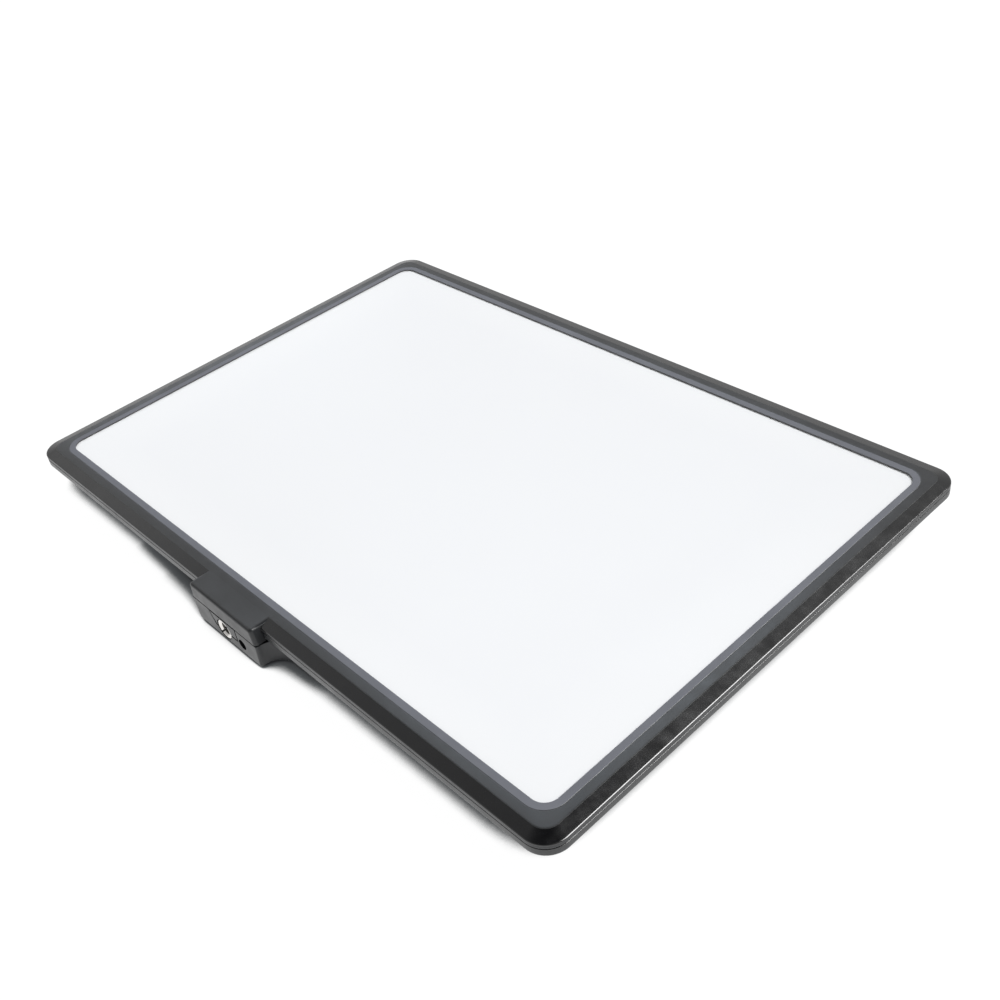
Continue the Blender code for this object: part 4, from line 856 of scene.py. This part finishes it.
# Switch: a snap-in housing of black plastic in the left wall, with a pin across it.
# The rocker that tips on the pin has a hollowed face for the finger.
BEZEL_HALF_Y = 7.5 * MM
BEZEL_HALF_Z = 4.9 * MM
BEZEL_CORNER = 1.2 * MM
BEZEL_EDGE = 0.5 * MM
CORE_HALF_Y = 6.6 * MM
CORE_HALF_Z = 4 * MM
WELL_HALF_Y = 5.85 * MM
WELL_HALF_Z = 3.1 * MM
WELL_BACK = 3.6 * MM
PIVOT_SET = 0.3 * MM
PIVOT_HOLE = 0.9 * MM
PIVOT_CUT = 13 * MM
pivot = Vector((left_wall + PIVOT_SET, SWITCH.y, control_z))
switch_low, switch_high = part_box("switch_housing")
switch = start_piece("switch_bezel")
add_wall_box(SWITCH, switch_low.x, left_wall - GAP, BEZEL_HALF_Y, BEZEL_HALF_Z)
choose(switch, 'EDGE', runs_along('X'))
bpy.ops.mesh.bevel(offset=BEZEL_CORNER, segments=6)
choose(switch, 'EDGE', lies_at('X', switch_low.x))
bpy.ops.mesh.bevel(offset=BEZEL_EDGE, segments=3)
close_piece(switch)
core = start_piece("switch_core")
add_wall_box(SWITCH, left_wall - MM, switch_high.x, CORE_HALF_Y, CORE_HALF_Z)
close_piece(core)
combine(switch, core, 'UNION')
well = start_piece("switch_well")
add_wall_box(SWITCH, switch_low.x - MM, left_wall + WELL_BACK, WELL_HALF_Y, WELL_HALF_Z)
close_piece(well)
combine(switch, well, 'DIFFERENCE')
pin_hole = start_piece("switch_pin_hole")
add_rod(pivot, 'Z', PIVOT_HOLE, PIVOT_CUT)
close_piece(pin_hole)
combine(switch, pin_hole, 'DIFFERENCE')
soften(switch, 0.1 * MM)
give(switch, "panel", "black_plastic", ["switch_housing"], satin_black)

ROCKER_TILT = math.radians(-9)
ROCKER_HALF_Y = 5.2 * MM
ROCKER_HALF_Z = 2.8 * MM
ROCKER_FRONT = -2.6 * MM
ROCKER_BACK = 1.6 * MM
ROCKER_HOLLOW = 0.7 * MM
ROCKER_ROWS = 10
rocker = start_piece("finger_rocker")
add_box((ROCKER_FRONT, -ROCKER_HALF_Y, -ROCKER_HALF_Z), (ROCKER_BACK, ROCKER_HALF_Y, ROCKER_HALF_Z))
choose(rocker, 'EDGE', runs_along('Y'))
bpy.ops.mesh.subdivide(number_cuts=ROCKER_ROWS - 1)
for row in range(1, ROCKER_ROWS):
    row_y = -ROCKER_HALF_Y + 2 * row * ROCKER_HALF_Y / ROCKER_ROWS
    choose(rocker, 'VERT', lambda vert: vert.co.x < 0 and abs(vert.co.y - row_y) < MM / 10)
    hollow = ROCKER_HOLLOW * (1 - (row_y / ROCKER_HALF_Y) ** 2)
    bpy.ops.transform.translate(value=(hollow, 0, 0))
close_piece(rocker)
hole = start_piece("rocker_hole")
add_rod((0, 0, 0), 'Z', PIVOT_HOLE, PIVOT_CUT)
close_piece(hole)
combine(rocker, hole, 'DIFFERENCE')
soften(rocker, 0.25 * MM, 3)
rocker.data.transform(Matrix.Translation(pivot) @ Matrix.Rotation(ROCKER_TILT, 4, 'Z'))
rocker_black = moulded_plastic(
    "rocker_black", (0.012, 0.012, 0.013), (0.018, 0.018, 0.02), 0.3, 0.4 * MM, 0.006 * MM)
give(rocker, "rocker", "black_plastic", ["power_rocker"], rocker_black)
blackened_steel = bare_metal(
    "blackened_steel", (0.05, 0.05, 0.055), (0.1, 0.1, 0.105), 0.38, 700.0, 700.0)
dress(blackened_steel, "rocker_pin")

# Inlet: a black low-voltage socket in the left wall, with a plated centre pin.
# Its round sleeve fills the hole in the wall, and the supply's plug goes in from the left.
SOCKET_HALF_Y = 4.5 * MM
SOCKET_HALF_Z = 4.3 * MM
SLEEVE_RADIUS = 4 * MM
SLEEVE_LENGTH = 4 * MM
SLEEVE_MIDDLE = 2.2 * MM
INLET_BORE = 3.1 * MM
INLET_BORE_LENGTH = 10.7 * MM
INLET_BORE_MIDDLE = 4.35 * MM
PIN_RADIUS = 1.0 * MM
PIN_ROUNDING = 0.5 * MM
socket_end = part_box("power_socket")[1].x
socket = start_piece("inlet_socket")
add_wall_box(SOCKET, left_wall + POD_WALL + GAP, socket_end, SOCKET_HALF_Y, SOCKET_HALF_Z)
close_piece(socket)
sleeve = start_piece("inlet_sleeve")
add_rod((left_wall + SLEEVE_MIDDLE, SOCKET.y, control_z), 'X', SLEEVE_RADIUS, SLEEVE_LENGTH, 48)
close_piece(sleeve)
combine(socket, sleeve, 'UNION')
bore = start_piece("inlet_bore")
add_rod((left_wall + INLET_BORE_MIDDLE, SOCKET.y, control_z), 'X', INLET_BORE, INLET_BORE_LENGTH, 48)
close_piece(bore)
combine(socket, bore, 'DIFFERENCE')
soften(socket, 0.25 * MM, 3)
give(socket, "panel", "component_case", ["power_socket"], rocker_black)
pin_low, pin_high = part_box("socket_pin")
pin = start_piece("inlet_pin")
add_rod(SOCKET, 'X', PIN_RADIUS, pin_high.x - pin_low.x, 24)
choose(pin, 'EDGE', lies_at('X', pin_low.x))
bpy.ops.mesh.bevel(offset=PIN_ROUNDING, segments=4)
close_piece(pin)
soften(pin, 0)
give(pin, "panel", "nickel", ["socket_pin"], nickel_plate)

# Screws: blackened steel pan heads with a cross recess, self-tapping.
# Eight hold the rear cover to the frame, four hold the housing and four hold the board.
HEAD_ROUNDING = 0.45 * MM
SHANK_TAPER = 0.8
CROSS_HALF_LENGTH = 1.3 * MM
CROSS_HALF_WIDTH = 0.25 * MM
CROSS_DEPTH = 0.7 * MM
CROSS_TAPER = 0.6


def model_screw(name, head_radius, head_height, shank_radius, length):
    """One screw at the origin with its head downwards, cut with a cross recess."""
    screw = start_piece(name)
    add_rod((0, 0, head_height / 2), 'Z', head_radius, head_height)
    choose(screw, 'EDGE', lies_at('Z', 0))
    bpy.ops.mesh.bevel(offset=HEAD_ROUNDING, segments=4)
    choose(screw, 'FACE', faces_along('Z', 1))
    bpy.ops.mesh.inset(thickness=head_radius - shank_radius)
    bpy.ops.mesh.extrude_region_move(TRANSFORM_OT_translate={"value": (0, 0, length)})
    bpy.ops.transform.resize(value=(SHANK_TAPER, SHANK_TAPER, 1), center_override=(0, 0, 0))
    close_piece(screw)
    for half_x, half_y in ((CROSS_HALF_WIDTH, CROSS_HALF_LENGTH), (CROSS_HALF_LENGTH, CROSS_HALF_WIDTH)):
        arm = start_piece("cross_arm")
        add_box((-half_x, -half_y, -MM), (half_x, half_y, CROSS_DEPTH))
        choose(arm, 'FACE', faces_along('Z', 1))
        bpy.ops.transform.resize(value=(CROSS_TAPER, CROSS_TAPER, 1), center_override=(0, 0, 0))
        close_piece(arm)
        combine(screw, arm, 'DIFFERENCE')
    soften(screw, 0.04 * MM)
    return screw


def set_copies(master, names, upside_down=False):
    """Put a copy of a modelled piece, with its own mesh, in place of each named solid."""
    for name in names:
        low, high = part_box(name)
        spot = Vector(((low.x + high.x) / 2, (low.y + high.y) / 2, high.z if upside_down else low.z))
        copy = master.copy()
        copy.data = master.data.copy()
        copy.name = f"{master.name}_{name[-1]}"
        turn = Matrix.Rotation(math.pi, 4, 'X') if upside_down else Matrix.Identity(4)
        copy.data.transform(Matrix.Translation(spot) @ turn)
        bpy.context.scene.collection.objects.link(copy)
        yield copy, name
    bpy.data.objects.remove(master)


cover_screw = model_screw("cover_fixing", 2.3 * MM, 1.2 * MM, 1.15 * MM, 4.5 * MM)
housing_screw = model_screw("housing_fixing", 2.6 * MM, 1.7 * MM, 1.2 * MM, 5.9 * MM)
board_screw = model_screw("board_fixing", 2.3 * MM, 1.5 * MM, 1.1 * MM, 4.7 * MM)
for master, names, upside_down in (
        (cover_screw, COVER_SCREWS, False),
        (housing_screw, HOUSING_SCREWS, False),
        (board_screw, BOARD_SCREWS, True)):
    for copy, name in set_copies(master, names, upside_down):
        give(copy, "panel", "blackened_steel", [name], blackened_steel)

# Feet: four discs of black rubber, glued into shallow recesses under the housing.
# Their rims are rounded and their faces a little hollow, so that they grip the table.
FOOT_ROUNDING = 0.6 * MM
FOOT_RIM = 0.8 * MM
FOOT_STEP = 0.5 * MM
FOOT_HOLLOW = 0.2 * MM
foot_low, foot_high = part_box("foot_1")
foot_radius = (foot_high.x - foot_low.x) / 2
foot = start_piece("rubber_foot")
add_rod((0, 0, (foot_high.z - foot_low.z) / 2), 'Z', foot_radius, foot_high.z - foot_low.z, 48)
choose(foot, 'EDGE', lies_at('Z', 0))
bpy.ops.mesh.bevel(offset=FOOT_ROUNDING, segments=4)
choose(foot, 'FACE', faces_along('Z', -1))
bpy.ops.mesh.inset(thickness=FOOT_RIM)
bpy.ops.mesh.inset(thickness=FOOT_STEP, depth=-FOOT_HOLLOW)
close_piece(foot)
soften(foot, 0)
rubber = moulded_plastic(
    "rubber", (0.018, 0.018, 0.019), (0.028, 0.028, 0.03), 0.75, 0.5 * MM, 0.03 * MM, 1.45)
for copy, name in set_copies(foot, FEET):
    give(copy, "panel", "rubber", [name], rubber)

# Studio: a white floor with a painted shadow near the panel and a little real shade, soft boxes behind
# and on the left for the reflections in the bands, a large lamp on the right for the shape, a lamp from
# below that shows the underside through the floor, and a sky that grows dark overhead.
FLOOR_SIZE = 8.0
NEAR_FLOOR = 0.5
SHADOW_REACH = 40 * MM
PAINTED_LIGHT_SIDE = Vector((0.5, 0, 0.87)).normalized()
WHITE_SHARE = 0.92
FLOOR_WHITE = 1.07


def larger(tree, first, second):
    """The larger of two values."""
    pick = tree.nodes.new('ShaderNodeMath')
    pick.operation = 'MAXIMUM'
    tree.links.new(first, pick.inputs[0])
    tree.links.new(second, pick.inputs[1])
    return pick.outputs[0]


def white_paint(name, paints_shadow):
    """White floor paint, clear from below and to the lamps; near the panel its glow carries a painted
    shadow from the occlusion, lighter towards the right, over a little real shade.
    """
    made = bpy.data.materials.new(name)
    made.use_nodes = True
    tree = made.node_tree
    tree.nodes.clear()
    matt = tree.nodes.new('ShaderNodeBsdfDiffuse')
    matt.inputs["Color"].default_value = (0.87, 0.89, 0.91, 1)
    bright = tree.nodes.new('ShaderNodeEmission')
    bright.inputs["Strength"].default_value = FLOOR_WHITE
    if paints_shadow:
        # Painted shadow: the occlusion near the panel darkens the glow's colour, tilted so that it is
        # lighter on the right.
        contact = tree.nodes.new('ShaderNodeAmbientOcclusion')
        contact.inputs["Distance"].default_value = SHADOW_REACH
        contact.samples = 64
        painted_light_side = tree.nodes.new('ShaderNodeNormal')
        painted_light_side.outputs["Normal"].default_value = PAINTED_LIGHT_SIDE
        tree.links.new(painted_light_side.outputs["Normal"], contact.inputs["Normal"])
        shade = add_ramp(tree, contact.outputs["AO"], (0.3, (0.008, 0.008, 0.009)),
                         (0.47, (0.07, 0.075, 0.078)), (0.57, (1, 1, 1)))
        tree.links.new(shade, bright.inputs["Color"])
    rays = tree.nodes.new('ShaderNodeLightPath')
    direct = larger(tree, rays.outputs["Is Camera Ray"], rays.outputs["Is Transmission Ray"])
    direct = larger(tree, direct, rays.outputs["Is Glossy Ray"])
    share = tree.nodes.new('ShaderNodeMath')
    share.operation = 'MULTIPLY'
    share.inputs[1].default_value = WHITE_SHARE
    mixed = tree.nodes.new('ShaderNodeMixShader')
    through = tree.nodes.new('ShaderNodeBsdfTransparent')
    sides = tree.nodes.new('ShaderNodeNewGeometry')
    two_sided = tree.nodes.new('ShaderNodeMixShader')
    out = tree.nodes.new('ShaderNodeOutputMaterial')
    tree.links.new(direct, share.inputs[0])
    tree.links.new(share.outputs[0], mixed.inputs[0])
    tree.links.new(matt.outputs[0], mixed.inputs[1])
    tree.links.new(bright.outputs[0], mixed.inputs[2])
    clear = larger(tree, sides.outputs["Backfacing"], rays.outputs["Is Shadow Ray"])
    tree.links.new(clear, two_sided.inputs[0])
    tree.links.new(mixed.outputs[0], two_sided.inputs[1])
    tree.links.new(through.outputs[0], two_sided.inputs[2])
    tree.links.new(two_sided.outputs[0], out.inputs["Surface"])
    return made


floor = start_piece("floor")
bpy.ops.mesh.primitive_plane_add(size=FLOOR_SIZE)
bpy.ops.mesh.inset(thickness=(FLOOR_SIZE - NEAR_FLOOR) / 2)
close_piece(floor)
for face in floor.data.polygons:
    face.material_index = 1 if face.center.length < NEAR_FLOOR else 0
floor.data.materials.append(white_paint("far_floor", False))
floor.data.materials.append(white_paint("near_floor", True))

# Brightness of the sky by the sine of its height
SKY = [(0.0, 1.0), (0.025, 0.9), (0.07, 0.55), (0.17, 0.66), (0.4, 0.48), (0.58, 0.4),
       (0.75, 0.34), (0.87, 0.2), (0.94, 0.03), (1.0, 0.005)]
world = bpy.data.worlds.new("studio")
bpy.context.scene.world = world
world.use_nodes = True
tree = world.node_tree
tree.nodes.clear()
direction = tree.nodes.new('ShaderNodeTexCoord')
parts = tree.nodes.new('ShaderNodeSeparateXYZ')
tree.links.new(direction.outputs["Generated"], parts.inputs[0])
sky_colour = add_ramp(tree, parts.outputs["Z"], *[(z, (value, value, value)) for z, value in SKY])
sky = tree.nodes.new('ShaderNodeBackground')
tree.links.new(sky_colour, sky.inputs["Color"])
backdrop = tree.nodes.new('ShaderNodeBackground')
backdrop.inputs["Color"].default_value = (1, 1, 1, 1)
rays = tree.nodes.new('ShaderNodeLightPath')
seen = tree.nodes.new('ShaderNodeMixShader')
out = tree.nodes.new('ShaderNodeOutputWorld')
direct = larger(tree, rays.outputs["Is Camera Ray"], rays.outputs["Is Transmission Ray"])
tree.links.new(direct, seen.inputs[0])
tree.links.new(sky.outputs[0], seen.inputs[1])
tree.links.new(backdrop.outputs[0], seen.inputs[2])
tree.links.new(seen.outputs[0], out.inputs["Surface"])


LAMP_DISTANCE = 1.4
COOL_WHITE = (0.89, 1.0, 1.11)
PLAIN_WHITE = (1.0, 1.0, 1.0)


def soft_box(name, azimuth, height, size_x, size_y, radiance, colour):
    """A lamp that faces the panel; azimuth and height are degrees, radiance 1 is white."""
    turn = math.radians(azimuth)
    rise = math.radians(height)
    towards = Vector((math.cos(turn) * math.cos(rise), math.sin(turn) * math.cos(rise), math.sin(rise)))
    lamp = bpy.data.lights.new(name, 'AREA')
    lamp.shape = 'RECTANGLE'
    lamp.color = colour
    lamp.size = size_x
    lamp.size_y = size_y
    lamp.energy = radiance * math.pi * size_x * size_y
    holder = bpy.data.objects.new(name, lamp)
    holder.location = Vector((0, 0, lip_z)) + towards * LAMP_DISTANCE
    holder.rotation_euler = towards.to_track_quat('Z', 'Y').to_euler()
    bpy.context.scene.collection.objects.link(holder)


soft_box("back_soft_box", 134, 50, size_x=0.8, size_y=0.48, radiance=1.55, colour=COOL_WHITE)
soft_box("left_soft_box", 160, 21, size_x=0.55, size_y=0.16, radiance=1.35, colour=COOL_WHITE)
soft_box("side_soft_box", 190, 33, size_x=0.4, size_y=0.3, radiance=0.2, colour=PLAIN_WHITE)


def far_lamp(name, towards, strength, spread):
    """A large lamp far away in a direction; its spread is in degrees."""
    lamp = bpy.data.lights.new(name, 'SUN')
    lamp.energy = strength
    lamp.angle = math.radians(spread)
    holder = bpy.data.objects.new(name, lamp)
    holder.rotation_euler = Vector(towards).to_track_quat('Z', 'Y').to_euler()
    bpy.context.scene.collection.objects.link(holder)


SUN_AZIMUTH = math.radians(48)
SUN_HEIGHT = math.radians(53)
to_right_lamp = (math.cos(SUN_AZIMUTH), math.sin(SUN_AZIMUTH), math.tan(SUN_HEIGHT))
far_lamp("right_lamp", to_right_lamp, strength=2.75, spread=32)
far_lamp("under_lamp", (0.15, 0.1, -1), strength=2.0, spread=70)

# Camera: the lens and the place that the corners of the light face give for the photograph
camera = bpy.data.objects.new("camera", bpy.data.cameras.new("camera"))
camera.data.lens = 42.76
camera.data.sensor_width = 36
CAMERA_SPOT = Vector((0.3641, -0.2611, 0.3441))
CAMERA_RIGHT = Vector((0.6842, 0.7190, -0.1217))
CAMERA_UP = Vector((-0.3819, 0.4955, 0.7802))
CAMERA_BACK = Vector((0.6213, -0.4873, 0.6136))
axes = Matrix((CAMERA_RIGHT, CAMERA_UP, CAMERA_BACK)).transposed()
camera.rotation_euler = axes.to_euler()
camera.location = CAMERA_SPOT
bpy.context.scene.collection.objects.link(camera)
bpy.context.scene.camera = camera
bpy.context.scene.view_settings.view_transform = 'Standard'
